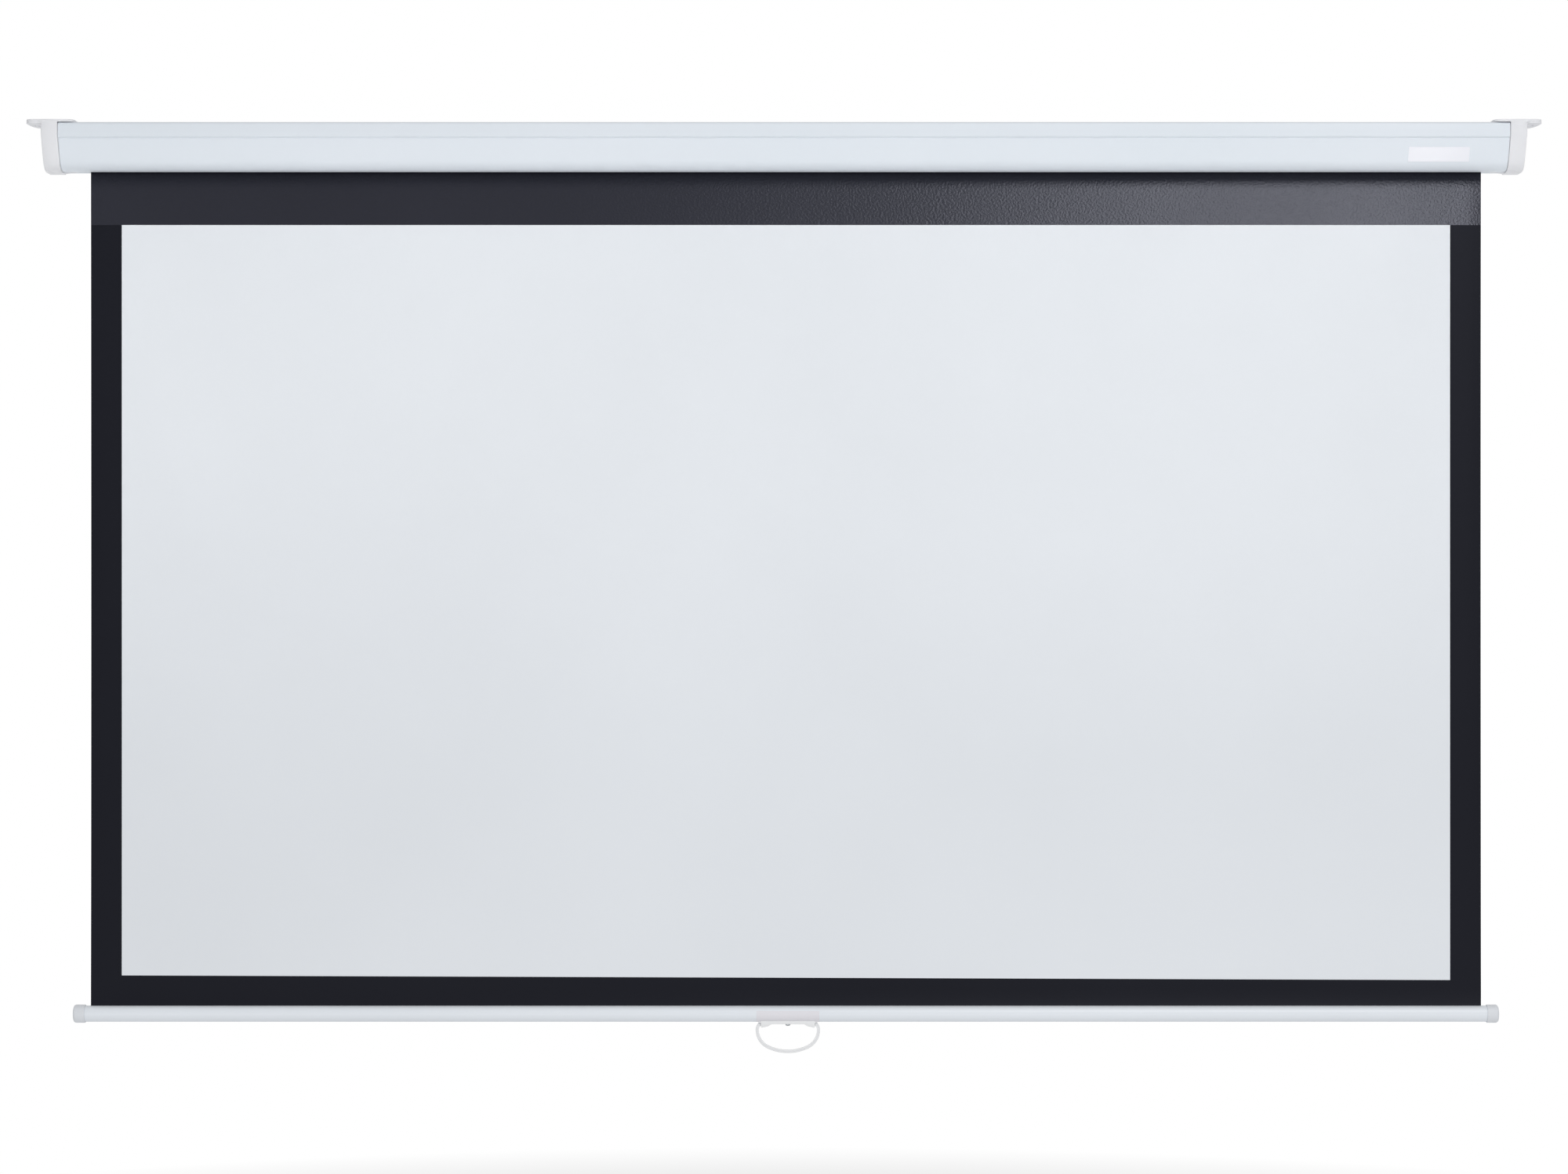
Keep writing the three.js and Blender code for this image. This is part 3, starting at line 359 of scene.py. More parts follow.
tree, start, end = new_group(
    "pressed_weave",
    [("Map", VECTOR, None), ("Threads", FLOAT, 2000.0), ("Warp Share", FLOAT, 0.35)],
    [("Height", FLOAT)],
)
wave_scale = maths(tree, "MULTIPLY", start.outputs["Threads"], math.tau / WAVE_RADIANS)
threads = {}
for label, direction in (("warp", "X"), ("weft", "Y")):
    wave = add(tree, "TexWave", bands_direction=direction, wave_profile="SIN")
    tree.links.new(start.outputs["Map"], wave.inputs["Vector"])
    tree.links.new(wave_scale, wave.inputs["Scale"])
    wave.inputs["Distortion"].default_value = thread_wobble
    threads[label] = wave.outputs["Fac"]
low_warp = maths(tree, "MULTIPLY", threads["warp"], start.outputs["Warp Share"])
crossing = maths(tree, "ADD", threads["weft"], low_warp)
slubs = noise(tree, start.outputs["Map"], slub_scale, 2.0)
uneven = maths(tree, "ADD", maths(tree, "MULTIPLY", slubs, slub_strength), plain_strength)
tree.links.new(maths(tree, "MULTIPLY", crossing, uneven), end.inputs["Height"])
weave_group = tree
print(tree.name, "made")

# %% [markdown]
# **Drawn metal.** Tube, wire and turned pins carry fine lines along the way they were drawn. The
# noise is stretched by scaling its coordinates, and drives colour, roughness and a slight bump.

# %% The drawn metal group
tree, start, end = new_group(
    "drawn_lines",
    [("Place", VECTOR, None), ("Stretch", VECTOR, None), ("Lines", FLOAT, 900.0)],
    [("Mask", FLOAT)],
)
stretched = add(tree, "VectorMath", operation="MULTIPLY")
tree.links.new(start.outputs["Place"], stretched.inputs[0])
tree.links.new(start.outputs["Stretch"], stretched.inputs[1])
lines = noise(tree, stretched.outputs[0], start.outputs["Lines"], 3.0, 0.6)
tree.links.new(lines, end.inputs["Mask"])
drawn_group = tree
print(tree.name, "made")

# %% [markdown]
# ## Finishes
# Each finish is one Principled shader. Its colour and its small variations come from the groups,
# and its fixed values, such as the gloss, are set on the shader's own sockets.

# %% Colours and a start for every finish
def linear(red, green, blue):
    """A display colour of 0 to 255 as the linear colour that a shader takes."""
    def one(value):
        value /= 255
        return value / 12.92 if value <= 0.04045 else ((value + 0.055) / 1.055) ** 2.4
    return (one(red), one(green), one(blue), 1.0)


def place_group(tree, group, **values):
    node = add(tree, "Group", node_tree=group)
    for label, value in values.items():
        feed(tree, node.inputs[label.replace("_", " ")], value)
    return node


def start_finish(name, roughness, metallic=0.0, specular=0.5):
    material = bpy.data.materials.new(name)
    material.use_nodes = True
    tree = material.node_tree
    shader = tree.nodes["Principled BSDF"]
    for label, value in (
        ("Roughness", roughness), ("Metallic", metallic), ("Specular IOR Level", specular),
    ):
        shader.inputs[label].default_value = value
    return material, tree, shader, add(tree, "TexCoord")


def vary_roughness(tree, shader, mask, low, high):
    """Takes the roughness from low to high as the mask goes from 0 to 1."""
    spread = maths(tree, "MULTIPLY_ADD", mask, high - low, low)
    tree.links.new(spread, shader.inputs["Roughness"])


def bump(tree, shader, height, depth):
    """Turns a height of 0 to 1 into a relief of this depth, in millimetres."""
    node = add(tree, "Bump")
    node.inputs["Distance"].default_value = depth * MM
    tree.links.new(height, node.inputs["Height"])
    tree.links.new(node.outputs["Normal"], shader.inputs["Normal"])
    return node


print("finish helpers ready")

# %% [markdown]
# ** Painted metal and mouldings.** The case and the bar are steel with an off-white powder coat,
# a little blue. The caps and the handle are moulded in a slightly warmer white. All of them drift
# in tone, gather dust and painted shade on top, and have their own pebble.

# %% White finishes
def white_finish(name, base, other, roughness, cell, depth, dust_and_shade_amount, specular=0.5):
    """Takes two close tones, the gloss, the pebble's size and depth in millimetres, and how much dust
    and painted shade lie on top.
    """
    drift_dulls, dust_dulls = 0.06, 0.4
    material, tree, shader, where = start_finish(name, roughness, specular=specular)
    place, facing = where.outputs["Object"], where.outputs["Normal"]
    drift = place_group(
        tree, drift_group, Place=place, Base=linear(*base), Other=linear(*other), Scale=3.0,
    )
    dust_and_shade = place_group(
        tree, dust_and_top_shade_group, Place=place, Facing=facing, Colour=drift.outputs["Colour"], Amount=dust_and_shade_amount,
    )
    tree.links.new(dust_and_shade.outputs["Colour"], shader.inputs["Base Color"])
    worn = maths(tree, "MULTIPLY", drift.outputs["Mask"], drift_dulls)
    dulled = maths(tree, "ADD", worn, dust_and_shade.outputs["Mask"])
    vary_roughness(tree, shader, dulled, roughness, roughness + dust_dulls)
    pebble = place_group(tree, pebble_group, Place=place, Cell=cell, Fine_Share=0.3)
    bump(tree, shader, pebble.outputs["Height"], depth)
    return material


# The case's amount is the highest. Besides dust, it paints shade along the case's top edge.
case_paint = white_finish(
    "case_paint", (221, 227, 234), (218, 225, 232), 0.42, 1.5, 0.012, 0.45, specular=0.35,
)
cap_plastic = white_finish("cap_plastic", (226, 227, 230), (223, 224, 228), 0.5, 0.5, 0.02, 0.35)
bar_paint = white_finish("bar_paint", (230, 235, 241), (227, 232, 238), 0.38, 1.4, 0.012, 0.22)
bar_plastic = white_finish("bar_plastic", (222, 225, 230), (218, 222, 227), 0.48, 0.5, 0.015, 0.22)
handle_plastic = white_finish(
    "handle_plastic", (236, 237, 238), (232, 233, 235), 0.42, 0.6, 0.012, 0.10,
)
patch_face = white_finish("patch_face", (228, 227, 232), (225, 224, 230), 0.45, 0.8, 0.006, 0.0)
badge_face = white_finish("badge_face", (236, 237, 243), (233, 234, 241), 0.30, 0.8, 0.006, 0.0)
print("white finishes: case, caps, bar, bar's caps, handle and the two plates")

# %% [markdown]
# **Cloth.** The picture area is the bare matt white vinyl. The masking is black ink over it. The
# drop above the picture is printed glossier than the narrow borders, and its embossing leans
# upwards a little, so it catches a light that hangs above and stays dark close under the case. A
# lean is added to the surface's own normal before the weave's bump. Fine uneven specks in the
# embossing break its sheen up. The back is black all over, so that no light shines through.

# %% Cloth finishes
def cloth_finish(name, base, other, roughness, specular, depth, drift_scale, lean=0.0, specks=0.0):
    """Takes two close tones, the gloss, the weave's depth in millimetres, how fast the tone drifts,
    how far the embossing leans upwards, and how strong its specks are."""
    gloss_drift, speck_scale = 0.03, 330.0
    material, tree, shader, where = start_finish(name, roughness, specular=specular)
    flat_map = where.outputs["UV"]
    drift = place_group(
        tree, drift_group, Place=flat_map, Base=linear(*base), Other=linear(*other),
        Scale=drift_scale,
    )
    tree.links.new(drift.outputs["Colour"], shader.inputs["Base Color"])
    vary_roughness(
        tree, shader, drift.outputs["Mask"], roughness - gloss_drift, roughness + gloss_drift,
    )
    weave = place_group(tree, weave_group, Map=flat_map)
    height = weave.outputs["Height"]
    if specks:
        specked = maths(tree, "MULTIPLY", noise(tree, flat_map, speck_scale, 2.0), specks)
        height = maths(tree, "ADD", height, specked)
    relief = bump(tree, shader, height, depth)
    if lean:
        leaning = add(tree, "VectorMath", operation="ADD")
        tree.links.new(add(tree, "NewGeometry").outputs["Normal"], leaning.inputs[0])
        leaning.inputs[1].default_value = (0, 0, lean)
        even = add(tree, "VectorMath", operation="NORMALIZE")
        tree.links.new(leaning.outputs[0], even.inputs[0])
        tree.links.new(even.outputs[0], relief.inputs["Normal"])
    return material


image_white = cloth_finish("image_white", (232, 236, 241), (227, 231, 236), 0.92, 0.2, 0.03, 1.6)
drop_black = cloth_finish(
    "drop_black", (29, 30, 39), (34, 35, 44), 0.24, 0.26, 0.006, 2.5, lean=0.27, specks=45,
)
border_black = cloth_finish(
    "border_black", (17, 18, 25), (20, 21, 28), 0.42, 0.12, 0.012, 2.5, lean=0.12,
)
backing_black = cloth_finish("backing_black", (30, 30, 32), (35, 35, 37), 0.8, 0.3, 0.05, 2.0)
blue_sheen = (0.86, 0.88, 1, 1)
for ink in (drop_black, border_black):
    ink.node_tree.nodes["Principled BSDF"].inputs["Specular Tint"].default_value = blue_sheen
print("cloth finishes: picture, drop, border and backing")

# %% [markdown]
# **Metals and nylon.** The roller is galvanised tube, the spring is drawn wire, the lock's steel
# is dark and lightly oiled, and the plugs and bushes are plain nylon.

# %% Metal and nylon finishes
def metal_finish(name, base, other, roughness, stretch, lines, metallic=1.0):
    """Takes two close tones, the gloss, how the lines are stretched, and how many cross a metre."""
    polish, dulling, line_depth = 0.08, 0.12, 0.004
    material, tree, shader, where = start_finish(name, roughness, metallic)
    drawn = place_group(
        tree, drawn_group, Place=where.outputs["Object"], Stretch=stretch, Lines=lines,
    ).outputs["Mask"]
    tint = mix_colour(tree, drawn, linear(*base), linear(*other))
    tree.links.new(tint, shader.inputs["Base Color"])
    vary_roughness(tree, shader, drawn, roughness - polish, roughness + dulling)
    bump(tree, shader, drawn, line_depth)
    return material


tube_steel = metal_finish(
    "tube_steel", (176, 180, 184), (150, 155, 160), 0.4, (0.08, 1, 1), 120.0, 0.9,
)
dark_steel = metal_finish(
    "dark_steel", (108, 113, 119), (84, 88, 94), 0.42, (1, 0.3, 0.3), 600.0, 0.9,
)
spring_steel = metal_finish(
    "spring_steel", (136, 140, 145), (108, 112, 118), 0.35, (1, 0.2, 0.2), 900.0,
)
screw_zinc = metal_finish(
    "screw_zinc", (202, 206, 210), (180, 185, 190), 0.28, (0.4, 0.4, 1), 900.0,
)
nylon = white_finish("nylon", (236, 234, 226), (229, 226, 216), 0.55, 0.7, 0.02, 0.0)
print("metals:", tube_steel.name, dark_steel.name, spring_steel.name, screw_zinc.name)

# %% [markdown]
# ## The inner parts
# The roller, its spring and its lock are hard parts whose solids are already their true shape.
# They keep their meshes and only get their finish.

# %% Give the inner solids their finish
inner_finish = {
    tube_steel: ["roller_tube"],
    dark_steel: ["upper_pawl_pin", "lower_pawl_pin", "upper_pawl", "lower_pawl", "ratchet_wheel",
                 "spring_spindle", "idler_pin", "hem_rod"],
    spring_steel: ["drive_spring"],
    nylon: ["cloth_spline", "ratchet_head", "head_cover", "spring_fixed_hub", "spindle_bush",
            "idler_plug", "idler_bush"],
}
for finish, names in inner_finish.items():
    for name in names:
        nodes[name].data.materials.clear()
        nodes[name].data.materials.append(finish)
print(sum(len(names) for names in inner_finish.values()), "inner solids finished")

# %% [markdown]
# ## The case
# The real case is one sheet of steel, rolled to a C that stays open along the cloth's slot. A
# brow runs along the top of its front. Below it the front steps back into a crease, leans away in
# a straight face and goes under in a round chin. Each edge of the slot is rolled into a bead, so
# that it can't cut the cloth. The section is drawn once and pulled out along the case.

# %% Sizes of the case's section
wall = 1.2 * MM
brow_height = 18.5 * MM
brow_step = 2.5 * MM
face_lean = 26
chin_radius = 22 * MM
nose_radius = 4 * MM
rear_radius = 2 * MM
step_radius = 0.7 * MM
crease_depth, crease_height, crease_lift = 0.8 * MM, 1.3 * MM, 0.3 * MM
crease_radius, face_radius = 0.1 * MM, 0.3 * MM
slot_half = 3.5 * MM
lip_radius = 1.3 * MM
end_room = 0.5 * MM
lean_across, lean_down = math.cos(math.radians(face_lean)), math.sin(math.radians(face_lean))
brow_foot = case_high.z - brow_height
face_foot = Vector((0, case_low.y + brow_step, brow_foot - brow_step))
face_run = (face_foot.z - case_low.z - chin_radius * (1 - lean_down)) / lean_across
chin = Vector((
    case_low.x, face_foot.y + chin_radius * lean_across + face_run * lean_down,
    case_low.z + chin_radius,
))
print(f"brow foot at z {brow_foot:.4f}, chin about y {chin.y:.4f}, z {chin.z:.4f}")

# %% [markdown]
# The outline starts at the rear bead and goes round the back, over the top and down the front to
# the chin. It comes back along the inside, one wall away. Its corners are rounded at the end, each
# with its own radius. A little room is left at both ends of the case for the caps' rims.

# %% Draw the case's section and pull it out
def corners_to(bm, tip, x, places, corners):
    """Strokes through (y, z, radius) places, and notes the corners that are to be rounded."""
    for y, z, radius in places:
        tip = line_to(bm, tip, x, y, z)
        if radius:
            corners.append((tip, radius))
    return tip


bm = bmesh.new()
x = case_low.x + end_room
front_lip = Vector((x, cloth_y - slot_half - lip_radius, case_low.z + lip_radius))
rear_lip = Vector((x, cloth_y + slot_half + lip_radius, case_low.z + lip_radius))
# A corner of 45 degrees moves in by this share of the wall, or of its radius.
half_corner = math.sqrt(2) - 1
diagonal = math.sqrt(0.5)
corner_steps, chin_steps, bead_steps = 6, 24, 20
corners = []

# Outside: from the rear bead round the back and the top to the front, and down to the chin.
tip = corners_to(bm, bm.verts.new((x, rear_lip.y, case_low.z)), x, (
    (case_high.y, case_low.z, rear_radius), (case_high.y, case_high.z, rear_radius),
    (case_low.y, case_high.z, nose_radius), (case_low.y, brow_foot, step_radius * half_corner),
    (face_foot.y + crease_depth, face_foot.z + crease_lift, crease_radius),
    (face_foot.y + crease_height * lean_down, face_foot.z - crease_height * lean_across,
     face_radius),
), corners)
tip = line_to(bm, tip, x, chin.y - chin_radius * lean_across, chin.z - chin_radius * lean_down)
tip = arc_to(bm, tip, chin, X_AXIS, 90 - face_lean, chin_steps)
tip = line_to(bm, tip, x, front_lip.y, case_low.z)

# Round the front bead and a little further, back up the inside and round the rear bead.
tip = arc_to(bm, tip, front_lip, X_AXIS, 272, bead_steps)
tip = line_to(bm, tip, x, chin.y, case_low.z + wall)
tip = arc_to(bm, tip, chin, X_AXIS, face_lean - 90, chin_steps)
mitre = wall / (1 + (lean_across + lean_down) * diagonal)
inner_y = face_foot.y + mitre * (diagonal + lean_across)
inner_z = face_foot.z + mitre * (diagonal + lean_down)
tip = corners_to(bm, tip, x, (
    (inner_y + crease_height * lean_down, inner_z - crease_height * lean_across, 0),
    (inner_y + crease_depth, inner_z, 0),
    (case_low.y + wall, brow_foot + wall * half_corner, 0),
    (case_low.y + wall, case_high.z - wall, nose_radius - wall),
    (case_high.y - wall, case_high.z - wall, rear_radius - wall),
    (case_high.y - wall, case_low.z + wall, rear_radius - wall),
), corners)
tip = line_to(bm, tip, x, rear_lip.y + lip_radius, rear_lip.z)
arc_to(bm, tip, rear_lip, X_AXIS, 270, bead_steps)

for corner, radius in corners:
    round_corners(bm, [corner], radius, corner_steps)
print("case section:", len(bm.verts), "points")
pull_out(bm, (case_high.x - case_low.x - 2 * end_room, 0, 0))
dress(make_object("case_cover", bm), case_paint, "case", "case_paint", "case_shell")

# %% [markdown]
# ## The end caps
# Each cap is one moulding: a cup that closes the case, a plate on top with a slotted ear, a tongue
# that fills the end of the cloth's slot, and a spigot inside. The solid model already has all of
# it, so a copy is merged and its flat facets are dissolved. The rim that meets the case and the
# edges of the plate's top are then rounded off, as a mould leaves them. The rounded rim and the
# case's own end leave a fine dark seam between them.

# %% Copy a solid and soften it
def soft_edges(bm, width, segments, sharper_than, chosen=lambda edge: True):
    """Rounds the edges of a closed mesh that are chosen and are sharper than an angle."""
    sharp = [
        edge for edge in bm.edges
        if edge.is_manifold and chosen(edge)
        and edge.calc_face_angle(0) > math.radians(sharper_than)
    ]
    bmesh.ops.bevel(
        bm, geom=sharp, offset=width, offset_type="OFFSET", affect="EDGES",
        segments=segments, profile=0.5, material=-1, clamp_overlap=True, loop_slide=True,
    )


def copy_of(node):
    bm = bmesh.new()
    bm.from_mesh(nodes[node].data)
    weld(bm, 0.002 * MM)
    bmesh.ops.dissolve_limit(
        bm, angle_limit=math.radians(0.5), use_dissolve_boundaries=False,
        verts=bm.verts[:], edges=bm.edges[:],
    )
    return bm


cap_shoulder = case_high.x + play
cap_rim_radius = 0.5 * MM
near = 0.01 * MM


def is_rim(edge):
    """Whether an edge goes round the cap's mouth or round the top of its plate."""
    at_mouth = all(abs(abs(v.co.x) - cap_shoulder) < near for v in edge.verts)
    on_top = all(abs(v.co.z - cap_top) < near for v in edge.verts)
    return (at_mouth or on_top) and edge.calc_face_angle_signed(0) > 0


for side in ("left", "right"):
    cap_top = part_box(f"{side}_end_cap")[1].z
    bm = copy_of(f"{side}_end_cap")
    soft_edges(bm, cap_rim_radius, 2, 60, is_rim)
    cap = make_object(f"{side}_cap_cover", bm, 35)
    dress(cap, cap_plastic, "case", "cap_plastic", f"{side}_end_cap")

# %% [markdown]
# ## Screws
# Two countersunk screws fix each cap to the case, and one pan-head screw holds the handle's base.
# A screw is its outline spun about its axis, with a cross cut in its head. Outlines are lists of
# radius and height in millimetres, and start and end on the axis.

# %% Spin a screw and cut its cross
def standing(place, axis):
    """The matrix that moves a mesh to a place and turns its Z axis to another."""
    turn = Z_AXIS.rotation_difference(Vector(axis)).to_matrix().to_4x4()
    return Matrix.Translation(Vector(place)) @ turn


def spin_solid(bm, place, axis, sides):
    """Spins an outline a whole turn, and stands the solid at a place, along an axis."""
    spin(bm, bm.verts[:] + bm.edges[:], (0, 0, 0), Z_AXIS, 360, sides, whole_turn=True)
    weld(bm)
    face_outwards(bm)
    bmesh.ops.transform(bm, verts=bm.verts[:], matrix=standing(place, axis))


def combine(base, tools, operation):
    """Joins tools to a piece, or cuts them from it, and deletes them."""
    for tool in tools:
        step = base.modifiers.new(tool.name, "BOOLEAN")
        step.operation, step.solver, step.object = operation, "EXACT", tool
    shaped = base.evaluated_get(bpy.context.evaluated_depsgraph_get())
    mesh = bpy.data.meshes.new_from_object(shaped)
    base.modifiers.clear()
    old, base.data = base.data, mesh
    mesh.name = base.name
    bpy.data.meshes.remove(old)
    for tool in tools:
        bpy.data.objects.remove(tool)


def cross_cutters(place, axis, span, width, depth):
    """Two flat blades, a quarter turn apart. Each cuts one slot of the cross."""
    blades = []
    for turn_degrees in (0, 90):
        bm = bmesh.new()
        bmesh.ops.create_cube(bm, size=1)
        bmesh.ops.scale(bm, verts=bm.verts[:], vec=(span, width, 2 * depth))
        across = Matrix.Rotation(math.radians(turn_degrees), 4, "Z")
        bmesh.ops.transform(bm, verts=bm.verts[:], matrix=standing(place, axis) @ across)
        blades.append(make_object("cross_cutter", bm))
    return blades


def turn_screw(name, outline, place, axis, cross_span, cross_width):
    cross_depth, sides = 1.3 * MM, 40
    bm = bmesh.new()
    draw(bm, [(radius * MM, 0, height * MM) for radius, height in outline])
    spin_solid(bm, place, axis, sides)
    screw = make_object(name, bm, 40)
    cutters = cross_cutters(place, axis, cross_span, cross_width, cross_depth)
    combine(screw, cutters, "DIFFERENCE")
    shade(screw, 30)
    return screw


cap_screw_outline = [
    (0, -12), (0.4, -12), (1.6, -9), (1.6, -2.2), (3.15, -0.35), (3.3, -0.2), (3.25, -0.05),
    (3.1, 0), (0, 0),
]
for side in ("left", "right"):
    for end in ("front", "back"):
        name = f"{side}_cap_screw_{end}"
        low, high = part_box(name)
        place = ((low.x + high.x) / 2, (low.y + high.y) / 2, high.z)
        screw = turn_screw(name + "_turned", cap_screw_outline, place, Z_AXIS, 3.4 * MM, 0.75 * MM)
        dress(screw, screw_zinc, "case", "screw_zinc", name)

# %% [markdown]
# ## The cloth
# The cloth is one hung sheet. It is printed in three tones, so it is made as pieces that meet edge
# to edge. Each is a grid, given the cloth's thickness. A real sheet is never quite flat, so all
# the pieces share one shallow ripple that dies out at the slot and at the bar. It only goes
# backwards, so that the cloth never meets the roller in front of it.

# %% One ripple for all the cloth
ripple_height = 0.7 * MM
curl_depth, curl_width = 1.6 * MM, 22 * MM
wide_waves, narrow_waves, slant = 2.5, 5.5, 0.4
wide_share, narrow_share = 0.6, 0.4


def ripple(point):
    """How far the cloth stands off its plane at a point. Its side edges curl back a little."""
    down = (drop_high.z - point.z) / (drop_high.z - hem_high.z)
    calm = max(0.0, math.sin(math.pi * min(max(down, 0.0), 1.0))) ** 0.7
    along = (point.x - cloth_middle) / (drop_high.x - drop_low.x)
    wide = math.sin(math.tau * (wide_waves * along + slant * down))
    narrow = math.sin(math.tau * narrow_waves * along + 1)
    folds = 1 + wide_share * wide + narrow_share * narrow
    from_edge = (0.5 - abs(along)) * (drop_high.x - drop_low.x)
    curl = curl_depth * max(0.0, 1 - from_edge / curl_width) ** 2
    return calm * (ripple_height * folds + curl)


def upright_grid(columns, rows):
    """A grid one metre square, stood up about the origin."""
    bm = bmesh.new()
    bmesh.ops.create_grid(bm, x_segments=columns, y_segments=rows, size=0.5)
    stand_up = Matrix.Rotation(math.pi / 2, 3, "X")
    bmesh.ops.rotate(bm, verts=bm.verts[:], cent=(0, 0, 0), matrix=stand_up)
    return bm


def face_front(bm):
    """Turns all the faces of an open sheet to the front."""
    face_outwards(bm)
    if bm.faces[:][0].normal.y > 0:
        bmesh.ops.reverse_faces(bm, faces=bm.faces[:])


def cloth_piece(name, left, right, low, high, front, columns, rows, right_low=None, crowd=0):
    """A sheet from one corner to the other. right_low lowers the right end of its lower edge, and
    crowd draws the columns closer together at both sides."""
    bm = upright_grid(columns, rows)
    for v in bm.verts:
        across, up = v.co.x + 0.5, v.co.z + 0.5
        across -= crowd * math.sin(math.tau * across) / math.tau
        foot = low + ((right_low if right_low is not None else low) - low) * across
        v.co.x = left + (right - left) * across
        v.co.z = foot + (high - foot) * up
        v.co.y = cloth_y - cloth_thickness / 2 + ripple(v.co)
    face_front(bm)
    bmesh.ops.solidify(bm, geom=bm.faces[:], thickness=cloth_thickness)
    flat_map = bm.loops.layers.uv.new("flat")
    for face in bm.faces:
        face.material_index = 1 if face.normal.y > 0.5 else 0
        for loop in face.loops:
            loop[flat_map].uv = (loop.vert.co.x, loop.vert.co.z)
    piece = make_object(name, bm, 40)
    piece.data.materials.append(front)
    piece.data.materials.append(backing_black)
    return piece


print(f"ripple {ripple_height / MM:.1f} mm, curl at the edges {curl_depth / MM:.1f} mm")

# %% [markdown]
# When the bar goes up, the real cloth winds on the roller. Here each piece rides on the bar. The
# picture's printed foot runs down a little from left to right.


def hang(piece, node):
    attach(piece, "weight_bar")
    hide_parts(node)
    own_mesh(piece)


foot_slope = 6 * MM
foot_left = image_low.z + foot_slope
drop = cloth_piece(
    "masking_drop", drop_low.x, drop_high.x, drop_low.z, drop_high.z, drop_black, 90, 10,
    crowd=0.85,
)
hang(drop, "black_drop")
picture = cloth_piece(
    "picture_area", image_low.x, image_high.x, foot_left, image_high.z, image_white, 86, 48,
    right_low=image_low.z,
)
hang(picture, "image_cloth")
for name, left, right in (
    ("left_border", border_low.x, image_low.x), ("right_border", image_high.x, border_high.x),
):
    edge = cloth_piece(name, left, right, border_low.z, border_high.z, border_black, 6, 49)
    hang(edge, "cloth_border")

# %% [markdown]
# The lower border is a narrow strip. It is made with level edges first, and then its upper edge is
# lowered to follow the picture's foot.

# %% The lower border
lower_border = cloth_piece(
    "lower_border", image_low.x, image_high.x, border_low.z, foot_left, border_black, 86, 2,
)
for v in lower_border.data.vertices:
    share = (v.co.x - image_low.x) / (image_high.x - image_low.x)
    up = (v.co.z - border_low.z) / (foot_left - border_low.z)
    v.co.z -= up * share * foot_slope
hang(lower_border, "cloth_border")

# %% [markdown]
# ## The hem
# The last of the cloth goes through the bar's slot, is turned round a steel rod and sewn to
# itself, so it can't pull out. The line of its back is drawn down and round the rod and pulled out
# along the bar, and solidify adds the cloth's thickness on the outside.

# %% Sew the hem round its rod
def hang_wound(piece, flat_length, body, node):
    flat_map = piece.data.uv_layers.new(name="flat")
    for loop in piece.data.loops:
        place = piece.data.vertices[loop.vertex_index].co
        flat_map.data[loop.index].uv = (place.x, place.z)
    dress(piece, border_black, body, "border_black", node)
    print(f"{piece.name}: {flat_length:.3f} m long when flat")


rod_low, rod_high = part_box("hem_rod")
rod_z, rod_radius = (rod_low.z + rod_high.z) / 2, (rod_high.z - rod_low.z) / 2
loop_radius = rod_radius + play
loop_degrees = 300
cloth_back = cloth_y + cloth_thickness / 2
neck = math.radians(72)
neck_length = 2.2 * MM
bm = bmesh.new()
tip = draw(bm, [
    (hem_low.x, cloth_back, hem_high.z), (hem_low.x, cloth_back, rod_z + loop_radius + neck_length),
    (hem_low.x, cloth_y - loop_radius * math.cos(neck), rod_z + loop_radius * math.sin(neck)),
])[-1]
arc_to(bm, tip, (hem_low.x, cloth_y, rod_z), X_AXIS, loop_degrees, 26)
pull_out_line(bm, (hem_high.x - hem_low.x, 0, 0))
thicken(bm, cloth_thickness)
hem = make_object("sewn_hem", bm, 50)
hem_length = (hem_high.z - rod_z) + math.radians(loop_degrees) * loop_radius
hang_wound(hem, hem_length, "weight_bar", "cloth_hem")

# %% [markdown]
# ## The safety turns
# Over a turn and a half of cloth always stays on the roller, so the pull comes on the winding and not
# on its glued edge. The line is a spiral: each short stroke turns a little and moves inwards.

# %% Wind the safety turns
wrap_low, wrap_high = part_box("cloth_wrap")
outer_radius = cloth_y - roller_y - cloth_thickness / 2
turns, pitch, strokes = 1.6, 0.9 * MM, 115


def on_spiral(turn):
    radius, angle = outer_radius - pitch * turn, math.tau * turn
    return (wrap_low.x, roller_y + radius * math.cos(angle), roller_z + radius * math.sin(angle))


bm = bmesh.new()
draw(bm, [on_spiral(turns * stroke / strokes) for stroke in range(strokes + 1)])
pull_out_line(bm, (wrap_high.x - wrap_low.x, 0, 0))
thicken(bm, cloth_thickness)
wound = make_object("wound_cloth", bm, 50)
wound_length = math.tau * turns * (outer_radius - pitch * turns / 2)
hang_wound(wound, wound_length, "roller", "cloth_wrap")

# %% [markdown]
# ## The weight bar
# The bar is a painted steel tube, slotted along its top for the hem. Its section is an arc that
# leaves the slot open, a stroke through the wall, and a second arc back along the inside.

# %% Draw the bar's section and pull it out
bar_wall = 1.2 * MM
bar_slot_half = 1.1 * MM
bar_inside = bar_radius - bar_wall
bm = bmesh.new()
centre = Vector((bar_low.x, cloth_y, bar_z))


def slot_edge(radius, side):
    """The point where a circle of the section meets one side of the slot."""
    height = math.sqrt(radius ** 2 - bar_slot_half ** 2)
    return (centre.x, cloth_y + side * bar_slot_half, bar_z + height)


def open_degrees(radius):
    """How much of a circle of the section the slot leaves open."""
    return 2 * math.degrees(math.asin(bar_slot_half / radius))


